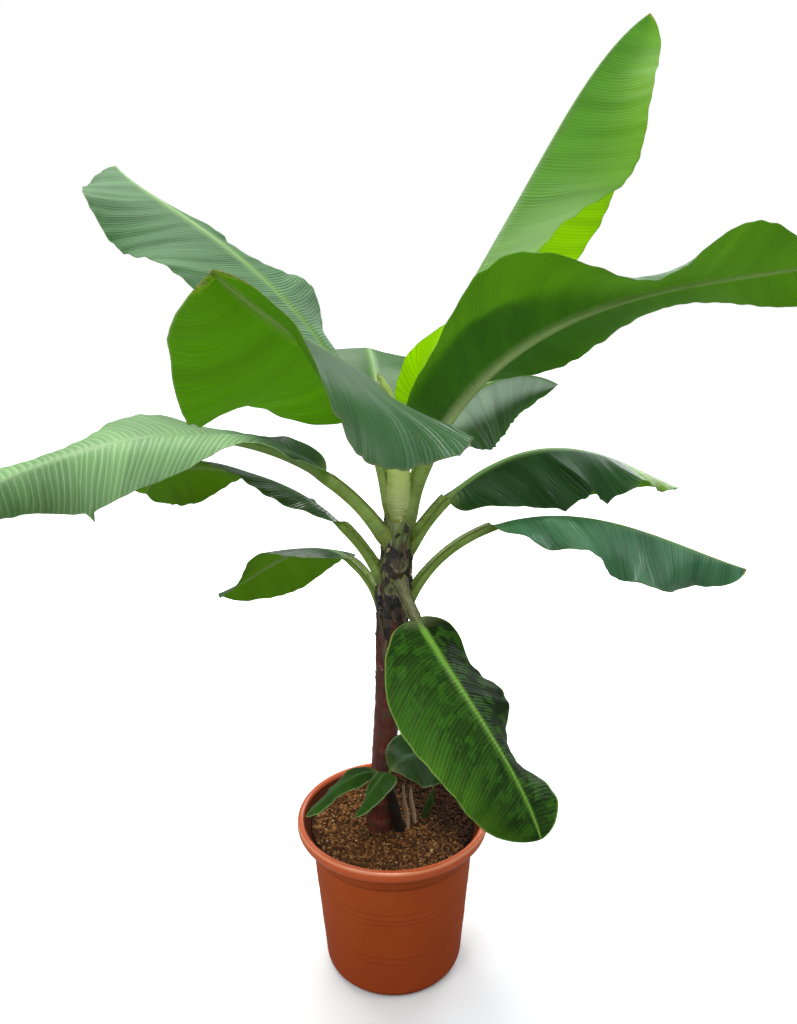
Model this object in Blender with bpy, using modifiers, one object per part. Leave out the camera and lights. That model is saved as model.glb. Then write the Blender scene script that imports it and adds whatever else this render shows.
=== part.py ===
"""A dwarf banana plant in a round plastic pot.

Metres, +Z up. The origin is the middle of the pot's flat underside, and the front is -Y.
A leaf's bearing is its heading seen from above, in degrees from +X towards +Y, its pitch is its climb
and its roll lifts the right side, seen looking out from the stem.
"""

import math
from dataclasses import dataclass

import bmesh
import bpy
import numpy as np

# Clear air between pieces that touch
GAP = 0.0003

# Pot
POT_HEIGHT = 0.320
RIM_RADIUS = 0.190
RIM_WIDTH = 0.014
RIM_DEPTH = 0.024
NECK_RADIUS = 0.1635
BAND_DEPTH = 0.028
BAND_PROUD = 0.0035
FOOT_RADIUS = 0.137
FOOT_ROUNDING = 0.020
WALL = 0.0035
FLARE_DEPTH = 0.012
FLARE = 0.004
BAND_STEP = 0.001
TURNED_STEPS = 48

# Soil
SOIL_TOP = 0.296
SOIL_EDGE = 0.294
SOIL_FLAT = 0.080

# Petioles. The depth is a share of the width, and the start a share of the stem's radius from its axis
STALK_DEPTH = 0.9
STALK_START = 0.6
STALK_ROOT = 0.020
STALK_MARGIN = 0.004
STALK_SCAN = 0.0025
STALK_RINGS = 4

# Blades. The thickness is a share of the leaf's length, the rib's sizes are shares of the petiole's width
BLADE_THICKNESS = 0.01
BLADE_RINGS = 18
BELLY = 0.42
RIB_DEPTH = 0.4
RIB_FADE = 0.75
RIB_SHOULDER = 0.55
WIDEST_SHOULDER = 0.4
TIP_SHARE = 0.35

# Angles of a petiole's ring, over the top from left to right and back underneath
RING_ANGLES = (165, 130, 90, 50, 15, -15, -45, -68, -90, -112, -135, -165)

# Sharpest turn that is shaded as a smooth surface, in degrees
SMOOTH_ANGLE = 40


@dataclass(frozen=True)
class Ripple:
    """Waves of a blade's edge: height, number along the blade, and share of a wave at the base."""

    height: float
    waves: float
    phase: float


@dataclass(frozen=True)
class Half:
    """One side of a blade. Its fold droops from the midrib, at the base, middle and tip, in degrees."""

    width: float
    fold: tuple
    curl: float
    ripple: Ripple


@dataclass(frozen=True)
class Stem:
    """A leaning round stem from the soil up, with its radius at heights above the soil."""

    name: str
    foot: tuple
    head: tuple
    girth: tuple

    def axis(self, height):
        """Points of the middle line at these heights."""
        share = (np.asarray(height) - SOIL_TOP) / (self.head[2] - SOIL_TOP)
        across = self.foot[0] + share * (self.head[0] - self.foot[0])
        back = self.foot[1] + share * (self.head[1] - self.foot[1])
        return np.stack([across, back, np.asarray(height, float)], axis=-1)

    def radius(self, height):
        heights, radii = zip(*self.girth)
        return np.interp(np.asarray(height) - SOIL_TOP, heights, radii)


@dataclass(frozen=True)
class Frond:
    """A leaf: where its petiole leaves the stem's axis, its lengths, and how it bends."""

    name: str
    height: float
    petiole: float
    blade: float
    stalk: float
    pitch: tuple
    bearing: tuple
    roll: tuple
    left: Half
    right: Half


TRUNK = Stem(
    "trunk",
    foot=(-0.025, -0.015),
    head=(0.020, 0.000, 0.980),
    girth=(
        (0.000, 0.0280), (0.030, 0.0255), (0.120, 0.0240), (0.280, 0.0240), (0.400, 0.0270),
        (0.470, 0.0305), (0.540, 0.0295), (0.610, 0.0260), (0.660, 0.0210), (0.684, 0.0120),
    ),
)

SUCKER = Stem(
    "sucker",
    foot=(0.015, -0.028),
    head=(-0.010, -0.056, 0.435),
    girth=((0.000, 0.0110), (0.020, 0.0105), (0.070, 0.0090), (0.120, 0.0075), (0.145, 0.0045)),
)

TRUNK_LEAVES = (
    Frond(
        "leaf_1",
        height=0.906, petiole=0.212, blade=0.871, stalk=0.028,
        pitch=(108, 10, 95, 32), bearing=(51, 8, 24), roll=(9, 24, 7),
        left=Half(0.172, (3, 98, 76), 6, Ripple(0.011, 2.26, 0.49)),
        right=Half(0.178, (-60, 82, 50), -20, Ripple(0.022, 2.46, 0.16)),
    ),
    Frond(
        "leaf_2",
        height=0.917, petiole=0.139, blade=0.793, stalk=0.028,
        pitch=(78, 49, -12, 13), bearing=(-9, 1, -23), roll=(29, 41, 27),
        left=Half(0.144, (-35, -12, 7), -2, Ripple(0.036, 1.59, 0.19)),
        right=Half(0.182, (-59, 50, 9), 15, Ripple(0.039, 2.36, 0.42)),
    ),
    Frond(
        "leaf_3",
        height=0.941, petiole=0.248, blade=0.820, stalk=0.026,
        pitch=(83, 42, 18, 24), bearing=(160, 159, 121), roll=(-2, 16, -1),
        left=Half(0.164, (0, 21, 6), 10, Ripple(0.019, 2.72, 0.18)),
        right=Half(0.152, (4, 22, 51), 19, Ripple(0.023, 2.64, 0.42)),
    ),
    Frond(
        "leaf_4",
        height=0.944, petiole=0.373, blade=0.428, stalk=0.028,
        pitch=(90, -2, 11, 22), bearing=(272, 247, 250), roll=(-22, 16, 0),
        left=Half(0.214, (65, 46, 9), 0, Ripple(-0.063, 1.00, 0.48)),
        right=Half(0.166, (48, 16, 55), -39, Ripple(0.034, 1.52, 0.84)),
    ),
    Frond(
        "leaf_5",
        height=0.884, petiole=0.179, blade=0.645, stalk=0.030,
        pitch=(60, 22, -20, -28), bearing=(191, 204, 202), roll=(-4, -10, 54),
        left=Half(0.112, (-15, 21, 86), 62, Ripple(0.015, 2.82, 0.51)),
        right=Half(0.141, (-33, 32, 36), 16, Ripple(0.023, 1.93, 0.32)),
    ),
    Frond(
        "leaf_6",
        height=0.798, petiole=0.148, blade=0.564, stalk=0.024,
        pitch=(69, 20, -8, -35), bearing=(172, 174, 116), roll=(-2, -23, -4),
        left=Half(0.099, (3, 2, 10), 26, Ripple(0.015, 1.96, 0.45)),
        right=Half(0.107, (37, -25, 80), 20, Ripple(0.016, 2.32, 0.01)),
    ),
    Frond(
        "leaf_7",
        height=0.729, petiole=0.149, blade=0.393, stalk=0.021,
        pitch=(68, -1, -58, -23), bearing=(132, 135, 169), roll=(-1, -12, -18),
        left=Half(0.095, (8, -17, 40), 18, Ripple(0.007, 2.11, 0.32)),
        right=Half(0.095, (4, 49, 49), 13, Ripple(0.005, 2.03, 0.52)),
    ),
    Frond(
        "leaf_8",
        height=0.856, petiole=0.146, blade=0.544, stalk=0.026,
        pitch=(55, 35, -33, -28), bearing=(23, 30, 7), roll=(-5, 6, 7),
        left=Half(0.139, (32, 72, 17), 13, Ripple(0.014, 2.22, 0.09)),
        right=Half(0.133, (52, 62, 2), 23, Ripple(0.013, 3.53, 0.62)),
    ),
    Frond(
        "leaf_9",
        height=0.734, petiole=0.264, blade=0.499, stalk=0.022,
        pitch=(70, 12, -36, -18), bearing=(18, -2, -2), roll=(3, -16, -23),
        left=Half(0.122, (20, 71, 60), -7, Ripple(0.004, 3.14, 0.02)),
        right=Half(0.114, (16, 22, 72), 31, Ripple(0.026, 2.89, 0.33)),
    ),
    Frond(
        "leaf_10",
        height=0.891, petiole=0.239, blade=0.515, stalk=0.022,
        pitch=(65, 25, 10, -20), bearing=(66, 50, 47), roll=(-10, -15, -29),
        left=Half(0.126, (-11, 27, 46), 11, Ripple(0.009, 2.45, 0.96)),
        right=Half(0.141, (56, 75, 95), 4, Ripple(0.002, 2.93, 0.43)),
    ),
    Frond(
        "leaf_11",
        height=0.898, petiole=0.259, blade=0.597, stalk=0.024,
        pitch=(78, 32, 4, -38), bearing=(105, 96, 89), roll=(3, -7, 2),
        left=Half(0.126, (-14, 13, 31), 16, Ripple(0.010, 2.32, 0.04)),
        right=Half(0.130, (-19, 25, 44), 10, Ripple(0.012, 2.66, 0.08)),
    ),
    Frond(
        "leaf_12",
        height=0.803, petiole=0.126, blade=0.401, stalk=0.022,
        pitch=(0, -49, -37, -70), bearing=(278, 326, 323), roll=(-13, 15, -3),
        left=Half(0.126, (1, 57, -10), 7, Ripple(0.025, 1.89, 0.39)),
        right=Half(0.145, (-11, 13, 16), 27, Ripple(0.013, 1.63, 0.17)),
    ),
)

SUCKER_LEAVES = (
    Frond(
        "sucker_leaf_1",
        height=0.424, petiole=0.027, blade=0.169, stalk=0.006,
        pitch=(64, -16, -57, -42), bearing=(214, 208, 177), roll=(17, -22, -1),
        left=Half(0.0265, (24, 14, 17), 4, Ripple(0.0035, 2.01, 0.19)),
        right=Half(0.0384, (6, 26, 1), 3, Ripple(0.0008, 2.87, 0.35)),
    ),
    Frond(
        "sucker_leaf_2",
        height=0.428, petiole=0.027, blade=0.130, stalk=0.006,
        pitch=(63, 14, -39, -46), bearing=(272, 243, 217), roll=(3, -17, -16),
        left=Half(0.0325, (10, 22, 7), 14, Ripple(0.0008, 2.10, 0.96)),
        right=Half(0.0246, (-6, 49, 30), 18, Ripple(0.0018, 1.82, 0.29)),
    ),
    Frond(
        "sucker_leaf_3",
        height=0.433, petiole=0.014, blade=0.171, stalk=0.006,
        pitch=(75, 17, -23, -57), bearing=(-13, 1, -14), roll=(-23, 1, 1),
        left=Half(0.0530, (-70, 15, 28), 3, Ripple(0.0059, 1.92, 0.17)),
        right=Half(0.0601, (47, 62, 59), 5, Ripple(0.0063, 1.79, 0.27)),
    ),
)

# The young shoot beside the sucker and the two dried stalks: foot and top, and their radii
SHOOT = ((0.062, 0.012, SOIL_TOP), (0.081, -0.030, 0.386))
SHOOT_RADII = (0.0045, 0.0075, 0.0090, 0.0060, 0.0020)
DRIED_STALKS = (
    ((0.031, -0.028, SOIL_TOP), (0.022, -0.030, 0.395)),
    ((0.044, -0.010, SOIL_TOP), (0.037, -0.012, 0.376)),
)
STALK_RADII = (0.0020, 0.0045, 0.0050, 0.0045, 0.0030)

# Colour, roughness and metallic value of each material
FINISHES = {
    "terracotta_plastic": ((0.42, 0.10, 0.035), 0.40, 0.0),
    "potting_soil": ((0.075, 0.040, 0.024), 0.95, 0.0),
    "leaf_sheath": ((0.110, 0.035, 0.022), 0.60, 0.0),
    "banana_leaf": ((0.045, 0.190, 0.035), 0.45, 0.0),
    "young_leaf": ((0.080, 0.260, 0.020), 0.45, 0.0),
    "dried_leaf": ((0.300, 0.190, 0.100), 0.85, 0.0),
}


def blend(keys, share):
    """A smooth value from the first key to the last, drawn towards those between."""
    last = len(keys) - 1
    return sum(
        math.comb(last, i) * share**i * (1 - share) ** (last - i) * key for i, key in enumerate(keys)
    )


def outline(share):
    """Half width of a banana blade, as a share of its widest, from base to tip."""
    rise = np.sin(np.pi / 2 * np.clip(share / BELLY, 0, 1)) ** 0.55
    fall = (1 - np.clip((share - BELLY) / (1 - BELLY), 0, 1) ** 2.2) ** 0.62
    return np.where(share < BELLY, rise, fall)


class Leaf:
    """The sections of one leaf, from inside its stem to its tip."""

    STEPS = 240

    def __init__(self, frond, stem):
        self.frond = frond
        self.length = frond.petiole + frond.blade
        self.along = np.linspace(0, self.length, self.STEPS + 1)
        tangent = self.tangent(self.along)
        heading = math.radians(frond.bearing[0])
        aside = STALK_START * stem.radius(frond.height)
        start = stem.axis(frond.height) + aside * np.array([math.cos(heading), math.sin(heading), 0])
        moves = (tangent[1:] + tangent[:-1]) / 2 * self.length / self.STEPS
        self.line = start + np.vstack([np.zeros(3), np.cumsum(moves, axis=0)])

    def heading(self, along):
        share = np.clip(np.asarray(along) / self.length, 0, 1)
        pitch = np.radians(blend(self.frond.pitch, share))
        return pitch, np.radians(blend(self.frond.bearing, share))

    def tangent(self, along):
        pitch, bearing = self.heading(along)
        return np.stack([np.cos(pitch) * np.cos(bearing), np.cos(pitch) * np.sin(bearing), np.sin(pitch)], -1)

    def centre(self, along):
        """The middle line, which runs straight back into the stem before its start."""
        inside = np.clip(along, 0, self.length)
        point = np.stack([np.interp(inside, self.along, self.line[:, i]) for i in range(3)], -1)
        return point + np.expand_dims(along - inside, -1) * self.tangent(inside)

    def frame(self, along):
        """The directions to the right and out of the upper face."""
        bearing = self.heading(along)[1]
        right = np.array([np.sin(bearing), -np.cos(bearing), 0])
        up = np.cross(right, self.tangent(along))
        share = min(max((along - self.frond.petiole) / self.frond.blade, 0), 1)
        roll = math.radians(blend(self.frond.roll, share))
        side = math.cos(roll) * right + math.sin(roll) * up
        return side, np.cross(side, self.tangent(along))

    def petiole_ring(self, along):
        side, up = self.frame(along)
        half = self.frond.stalk / 2
        angles = np.radians(RING_ANGLES)[:, None]
        return self.centre(along) + half * (np.cos(angles) * side + STALK_DEPTH * np.sin(angles) * up)

    def blade_point(self, share, half, sign, reach, across):
        """A point of the under face and its normal, at this share of the way from rib to edge."""
        along = self.frond.petiole + share * self.frond.blade
        side, up = self.frame(along)
        fold = math.radians(blend(half.fold, share))
        curl = math.radians(half.curl)
        slope = fold + curl * (across - 1) / 2
        chord = reach * across * np.sinc(curl * across / (2 * np.pi))
        point = self.centre(along) + chord * (sign * math.cos(slope) * side - math.sin(slope) * up)
        turn = fold + curl * (across - 0.5)
        normal = math.cos(turn) * up + sign * math.sin(turn) * side
        ripple = half.ripple
        wave = math.sin(2 * math.pi * (ripple.waves * share + ripple.phase)) * min(1.5 * outline(share), 1)
        return point + ripple.height * across**2 * wave * normal, normal

    def blade_ring(self, share):
        """Over the top from the left edge to the right, and back under the midrib."""
        frond = self.frond
        up = self.frame(frond.petiole + share * frond.blade)[1]
        centre = self.centre(frond.petiole + share * frond.blade)
        thick = BLADE_THICKNESS * self.length
        least = frond.stalk / 2 * (1 - share * (1 - TIP_SHARE))
        over, under = {}, {}
        for half, sign in ((frond.left, -1), (frond.right, 1)):
            reach = max(outline(share) * half.width, least)
            shoulder = min(RIB_SHOULDER * frond.stalk / reach, WIDEST_SHOULDER)
            steps = [self.blade_point(share, half, sign, reach, across) for across in (shoulder, 0.5, 1)]
            under[sign] = [point for point, _ in steps]
            over[sign] = [point + thick * normal for point, normal in steps[1:]]
        rib = centre - RIB_DEPTH * frond.stalk * (1 - RIB_FADE * share) * up
        top = over[-1][::-1] + [centre + thick * up] + over[1]
        return np.array(top + under[1][::-1] + [rib] + under[-1])

    def clear_length(self, stem, others):
        """How far the petiole runs before it has left its stem and every other petiole."""
        along = np.arange(0, self.frond.petiole, STALK_SCAN)
        points = self.centre(along)
        heights = points[:, 2]
        away = np.linalg.norm(points - stem.axis(heights), axis=1)
        half = self.frond.stalk / 2 + STALK_MARGIN
        held = (away < stem.radius(heights) + half) & (heights < stem.head[2] + half)
        for other in others:
            reach = other.centre(np.linspace(-STALK_ROOT, other.length / 2, 160))
            gaps = np.linalg.norm(points[:, None] - reach[None], axis=2).min(axis=1)
            held |= gaps < half + other.frond.stalk / 2
        return along[held].max() + 2 * STALK_SCAN

    def stub_rings(self, clear):
        return [self.petiole_ring(along) for along in np.linspace(-STALK_ROOT, clear, STALK_RINGS)]

    def free_rings(self, clear):
        starts = np.linspace(clear + GAP, self.frond.petiole, STALK_RINGS)
        even = np.linspace(0, 1, BLADE_RINGS + 1)
        shares = (even + (1 - np.cos(np.pi * even)) / 2) / 2
        return [self.petiole_ring(along) for along in starts] + [self.blade_ring(s) for s in shares[1:]]


def new_object(name, bm, collection, finish):
    """An object of this bmesh, shaded smooth, in its collection and with its finish."""
    mesh = bpy.data.meshes.new(name)
    bm.to_mesh(mesh)
    bm.free()
    mesh.shade_smooth()
    mesh.set_sharp_from_angle(angle=math.radians(SMOOTH_ANGLE))
    mesh.materials.append(material(finish))
    obj = bpy.data.objects.new(name, mesh)
    collection.objects.link(obj)
    return obj


def material(name):
    found = bpy.data.materials.get(name)
    if found:
        return found
    colour, roughness, metallic = FINISHES[name]
    made = bpy.data.materials.new(name)
    made.use_nodes = True
    shader = made.node_tree.nodes["Principled BSDF"]
    shader.inputs["Base Color"].default_value = (*colour, 1)
    shader.inputs["Roughness"].default_value = roughness
    shader.inputs["Metallic"].default_value = metallic
    made.diffuse_color = (*colour, 1)
    return made


def loft(name, rings, collection, finish):
    """A closed skin through rings that run clockwise, seen along the loft."""
    bm = bmesh.new()
    rows = [[bm.verts.new(point) for point in ring] for ring in rings]
    for near, far in zip(rows, rows[1:]):
        for i in range(len(near)):
            j = (i + 1) % len(near)
            bm.faces.new((near[i], near[j], far[j], far[i]))
    bm.faces.new(rows[0][::-1])
    bm.faces.new(rows[-1])
    return new_object(name, bm, collection, finish)


def turned(name, profile, collection, finish):
    """A profile of radius and height, turned once round Z."""
    bm = bmesh.new()
    points = [bm.verts.new((radius, 0, height)) for radius, height in profile]
    for first, second in zip(points, points[1:]):
        bm.edges.new((first, second))
    obj = new_object(name, bm, collection, finish)
    screw = obj.modifiers.new("Turn", "SCREW")
    screw.steps = TURNED_STEPS
    screw.render_steps = TURNED_STEPS
    screw.use_merge_vertices = True
    screw.merge_threshold = 0.00001
    return obj


def tube(name, points, radii, collection, finish):
    """A round tube along these points, with a radius at each."""
    curve = bpy.data.curves.new(name, "CURVE")
    curve.dimensions = "3D"
    curve.bevel_depth = 1
    curve.bevel_resolution = 4
    curve.use_fill_caps = True
    spline = curve.splines.new("POLY")
    spline.points.add(len(points) - 1)
    for place, point, radius in zip(spline.points, points, radii):
        place.co = (*point, 1)
        place.radius = radius
    guide = bpy.data.objects.new(name + "_line", curve)
    collection.objects.link(guide)
    graph = bpy.context.evaluated_depsgraph_get()
    mesh = bpy.data.meshes.new_from_object(guide.evaluated_get(graph))
    bm = bmesh.new()
    bm.from_mesh(mesh)
    bmesh.ops.remove_doubles(bm, verts=bm.verts, dist=0.00001)
    bmesh.ops.recalc_face_normals(bm, faces=bm.faces)
    bpy.data.objects.remove(guide)
    bpy.data.meshes.remove(mesh)
    return new_object(name, bm, collection, finish)


def joined(core, pieces):
    """The pieces made one with the core, and removed."""
    union = core.modifiers.new("Join", "BOOLEAN")
    union.operation = "UNION"
    union.operand_type = "COLLECTION"
    union.collection = pieces
    union.solver = "EXACT"
    graph = bpy.context.evaluated_depsgraph_get()
    mesh = bpy.data.meshes.new_from_object(core.evaluated_get(graph))
    core.modifiers.clear()
    core.data = mesh
    for piece in list(pieces.objects):
        bpy.data.objects.remove(piece)


def arc(centre, radii, start, end, count):
    """Points of a round corner in a profile, by angle in degrees."""
    angles = np.radians(np.linspace(start, end, count))
    return [(centre[0] + radii[0] * math.cos(a), centre[1] + radii[1] * math.sin(a)) for a in angles]


def body_radius(height):
    """Outer radius of the pot's body, which widens evenly from the foot to the rim."""
    return FOOT_RADIUS + (NECK_RADIUS - FOOT_RADIUS) * height / (POT_HEIGHT - RIM_DEPTH)


def build_pot(collection):
    neck = POT_HEIGHT - RIM_DEPTH
    turn = body_radius(FOOT_ROUNDING) - FOOT_ROUNDING
    bead = (RIM_RADIUS - RIM_WIDTH / 2, POT_HEIGHT - RIM_DEPTH / 2)
    band_top = body_radius(neck) + BAND_PROUD
    band_foot = neck - BAND_DEPTH
    profile = [(0, WALL)]
    profile += arc((turn, FOOT_ROUNDING), [FOOT_ROUNDING - WALL] * 2, -90, 0, 4)
    profile += [(body_radius(neck) - WALL, neck - FLARE_DEPTH), (body_radius(neck) - WALL + FLARE, neck)]
    profile += arc(bead, (RIM_WIDTH / 2, RIM_DEPTH / 2), 165, -75, 9)
    profile += [(band_top, neck), (body_radius(band_foot) + BAND_PROUD, band_foot + BAND_STEP)]
    profile += [(body_radius(band_foot), band_foot)]
    profile += arc((turn, FOOT_ROUNDING), [FOOT_ROUNDING] * 2, 0, -90, 5)
    profile += [(0, 0)]
    return turned("pot", profile, collection, "terracotta_plastic")


def build_soil(collection):
    turn = body_radius(FOOT_ROUNDING) - FOOT_ROUNDING
    inset = WALL + GAP
    neck = POT_HEIGHT - RIM_DEPTH
    wall = body_radius(neck) - inset
    flared = wall + FLARE * (SOIL_EDGE - neck + FLARE_DEPTH) / FLARE_DEPTH
    profile = [(0, SOIL_TOP), (SOIL_FLAT, SOIL_TOP), (flared, SOIL_EDGE), (wall, neck - FLARE_DEPTH)]
    profile += arc((turn, FOOT_ROUNDING), [FOOT_ROUNDING - inset] * 2, 0, -90, 4)
    profile += [(0, inset)]
    return turned("soil", profile, collection, "potting_soil")


def build_clump(stem, fronds, collection, pieces, stem_finish, leaf_finish):
    """A stem with the roots of its petioles, and its leaves, each in a piece of its own."""
    heights = [SOIL_TOP + GAP] + [SOIL_TOP + height for height, _ in stem.girth[1:]]
    points = stem.axis(heights)
    points[1, :2] = points[0, :2]
    core = tube(stem.name, points, stem.radius(heights), collection, stem_finish)
    leaves = [Leaf(frond, stem) for frond in fronds]
    for leaf in leaves:
        clear = leaf.clear_length(stem, [other for other in leaves if other is not leaf])
        loft(leaf.frond.name + "_root", leaf.stub_rings(clear), pieces, stem_finish)
        loft(leaf.frond.name, leaf.free_rings(clear), collection, leaf_finish)
    joined(core, pieces)


def build_small_stalk(name, ends, radii, collection, finish):
    """A short stalk that stands on the soil."""
    foot, top = (np.array(end) for end in ends)
    foot[2] += GAP
    points = [foot + (top - foot) * share for share in np.linspace(0, 1, len(radii))]
    points[1][:2] = foot[:2]
    tube(name, points, radii, collection, finish)


def main():
    for old in list(bpy.data.objects):
        bpy.data.objects.remove(old)
    parts = bpy.data.collections.new("banana_plant")
    pieces = bpy.data.collections.new("petiole_roots")
    for collection in (parts, pieces):
        bpy.context.scene.collection.children.link(collection)
    build_pot(parts)
    build_soil(parts)
    build_clump(TRUNK, TRUNK_LEAVES, parts, pieces, "leaf_sheath", "banana_leaf")
    build_clump(SUCKER, SUCKER_LEAVES, parts, pieces, "leaf_sheath", "young_leaf")
    build_small_stalk("side_shoot", SHOOT, SHOOT_RADII, parts, "young_leaf")
    for number, ends in enumerate(DRIED_STALKS, start=1):
        build_small_stalk(f"dried_stalk_{number}", ends, STALK_RADII, parts, "dried_leaf")


main()
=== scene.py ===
"""Looks of a potted dwarf banana plant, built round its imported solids.

Metres, +Z up, the front is -Y and the origin is the middle of the pot's underside. A leaf's bearing is its
heading seen from above, in degrees from +X towards +Y, its pitch is its climb and its roll lifts the right side.
"""

from __future__ import annotations

import logging
import math
from dataclasses import dataclass, field, replace
from enum import Enum
from functools import cache
from itertools import combinations

import bpy
import numpy as np
from mathutils import Matrix, Vector

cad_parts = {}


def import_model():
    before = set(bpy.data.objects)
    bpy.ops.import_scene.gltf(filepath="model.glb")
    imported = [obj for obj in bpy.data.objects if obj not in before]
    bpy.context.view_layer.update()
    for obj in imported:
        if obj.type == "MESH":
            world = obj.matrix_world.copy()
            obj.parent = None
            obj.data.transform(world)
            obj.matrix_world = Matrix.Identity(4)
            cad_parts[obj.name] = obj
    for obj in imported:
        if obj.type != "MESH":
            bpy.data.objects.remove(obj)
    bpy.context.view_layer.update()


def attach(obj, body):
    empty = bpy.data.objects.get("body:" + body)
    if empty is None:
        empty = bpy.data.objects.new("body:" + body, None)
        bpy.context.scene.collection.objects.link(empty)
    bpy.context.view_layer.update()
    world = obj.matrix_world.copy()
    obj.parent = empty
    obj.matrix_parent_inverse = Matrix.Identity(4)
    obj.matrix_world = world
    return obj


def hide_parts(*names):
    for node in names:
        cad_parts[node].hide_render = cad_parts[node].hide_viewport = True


LOG = logging.getLogger("banana_plant")

Array = np.ndarray
Colour = tuple[float, float, float]
Material = bpy.types.Material
Pair = tuple[float, float]
Place = tuple[float, float, float]
Socket = bpy.types.NodeSocket
Thing = bpy.types.Object
Value = object  # what goes into a node's input: a Wire, a number, a colour or a vector

BODY = "root"
SOIL_TOP = 0.296
WHOLE_TURN = 2 * np.pi
WAVES = ((1.0, 1.0, 5), (0.7, 1.73, 11), (0.5, 0.61, 3))  # each wave's height, pace and shift with the seed


class Side(Enum):
    """The sides of a blade, as the sign of the way across it."""

    LEFT = -1
    RIGHT = 1


class Joint(Enum):
    """How two values are joined by a Math node."""

    ADD = "ADD"
    LESS = "SUBTRACT"
    TIMES = "MULTIPLY"
    MOST = "MAXIMUM"


def smooth(value: Array, low: float, high: float) -> Array:
    """An even S-curve from 0 at low to 1 at high."""
    share = np.clip((np.asarray(value, float) - low) / (high - low), 0, 1)
    return share * share * (3 - 2 * share)


def blend(keys: tuple[float, ...], share: Array) -> Array:
    """A smooth value from the first key to the last, drawn towards those between."""
    last = len(keys) - 1
    return sum(math.comb(last, i) * share**i * (1 - share) ** (last - i) * key for i, key in enumerate(keys))


def waver(place: Array, length: float, seed: float) -> Array:
    """Uneven waves of about this length, from -1 to 1. The seed moves them along."""
    turn = WHOLE_TURN * place / length
    return sum(high * np.sin(fast * turn + shift * seed) for high, fast, shift in WAVES) / 2.2


def circle(radius: Array, turn: Array, height: Array = 0.0) -> Array:
    """Points round the upright axis at these radii, turns and heights."""
    return np.stack(np.broadcast_arrays(radius * np.cos(turn), radius * np.sin(turn), height), -1)


def scaled(colour: Colour, factor: float, extra: float = 0.0) -> Colour:
    """A colour made darker or lighter."""
    return tuple(min(1.0, factor * part + extra) for part in colour)


def ring_faces(rows: int, columns: int, way: int = 1) -> list[list[int]]:
    """Faces between closed rings of points, with both ends closed.

    Args:
        rows: The number of rings.
        columns: Points in a ring.
        way: 1 or -1, for the way that the points run round.

    Returns:
        Vertex numbers of each face.
    """
    index = np.arange(rows * columns).reshape(rows, columns)
    near, far = index[:-1], index[1:]
    others = [np.roll(near, -1, 1), np.roll(far, -1, 1), far]
    faces = np.stack([near, *others[::way]], -1).reshape(-1, 4).tolist()
    return faces + [index[0, ::-way].tolist(), index[-1, ::way].tolist()]


def face_object(name: str, points: Array, faces: list[list[int]], *finishes: Finish) -> Thing:
    """An object of these points and faces, shaded smooth.

    Args:
        name: The piece's name.
        points: One row for each vertex.
        faces: Vertex numbers of each face.
        finishes: Its materials' finishes.

    Returns:
        The new object, linked to the scene.
    """
    mesh = bpy.data.meshes.new(name)
    mesh.from_pydata(points.reshape(-1, 3).tolist(), [], faces)
    mesh.shade_smooth()
    for finish in finishes:
        mesh.materials.append(finish.material())
    obj = bpy.data.objects.new(name, mesh)
    bpy.context.scene.collection.objects.link(obj)
    return obj


def ring_object(name: str, rings: Array, *finishes: Finish) -> Thing:
    """A closed skin through rings of points, which are given by row and column."""
    return face_object(name, rings, ring_faces(*rings.shape[:2]), *finishes)


def paint(obj: Thing, name: str, *values: Array) -> None:
    """Writes a number or a vector at each vertex, for materials to read.

    Args:
        obj: The piece.
        name: The attribute's name.
        values: One array of numbers, or three for a vector, in the order of the vertices.
    """
    kind, part = ("FLOAT_VECTOR", "vector") if len(values) == 3 else ("FLOAT", "value")
    made = obj.data.attributes.new(name, kind, "POINT")
    made.data.foreach_set(part, np.stack(np.broadcast_arrays(*values), -1).astype(np.float32).ravel())


def lay_map(obj: Thing, rows: Array, count: int, margin: float = 0.01) -> None:
    """Lays a ring skin flat as a map, with each row and column in a place of its own.

    Args:
        obj: A piece made by ring_object.
        rows: Each ring's distance along the piece.
        count: Points in a ring.
        margin: The map's empty border.
    """
    upright = margin + (1 - 2 * margin) * (rows - rows[0]) / (rows[-1] - rows[0])
    level = np.linspace(margin, 1 - margin, count + 1)
    corners = np.empty(len(obj.data.loops), np.int32)
    obj.data.loops.foreach_get("vertex_index", corners)
    row, column = corners // count, corners % count
    quads = (len(rows) - 1) * count * 4
    last = (np.arange(quads) // 4 % count == count - 1) & (column[:quads] == 0)
    flat = np.full((len(corners), 2), margin, np.float32)
    flat[:quads, 0] = level[np.where(last, count, column[:quads])]
    flat[:quads, 1] = upright[row[:quads]]
    obj.data.uv_layers.new(name="OFBake").uv.foreach_set("vector", flat.ravel())


def show(obj: Thing, slot: str, *nodes: str) -> None:
    """Hands a finished piece over to the plant.

    Args:
        obj: The piece.
        slot: The record's material slot. It is not used.
        nodes: The solids that it stands for.
    """
    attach(obj, BODY)
    if nodes:
        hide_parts(*nodes)
    LOG.info("%s: %d faces", obj.name, len(obj.data.polygons))


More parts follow.
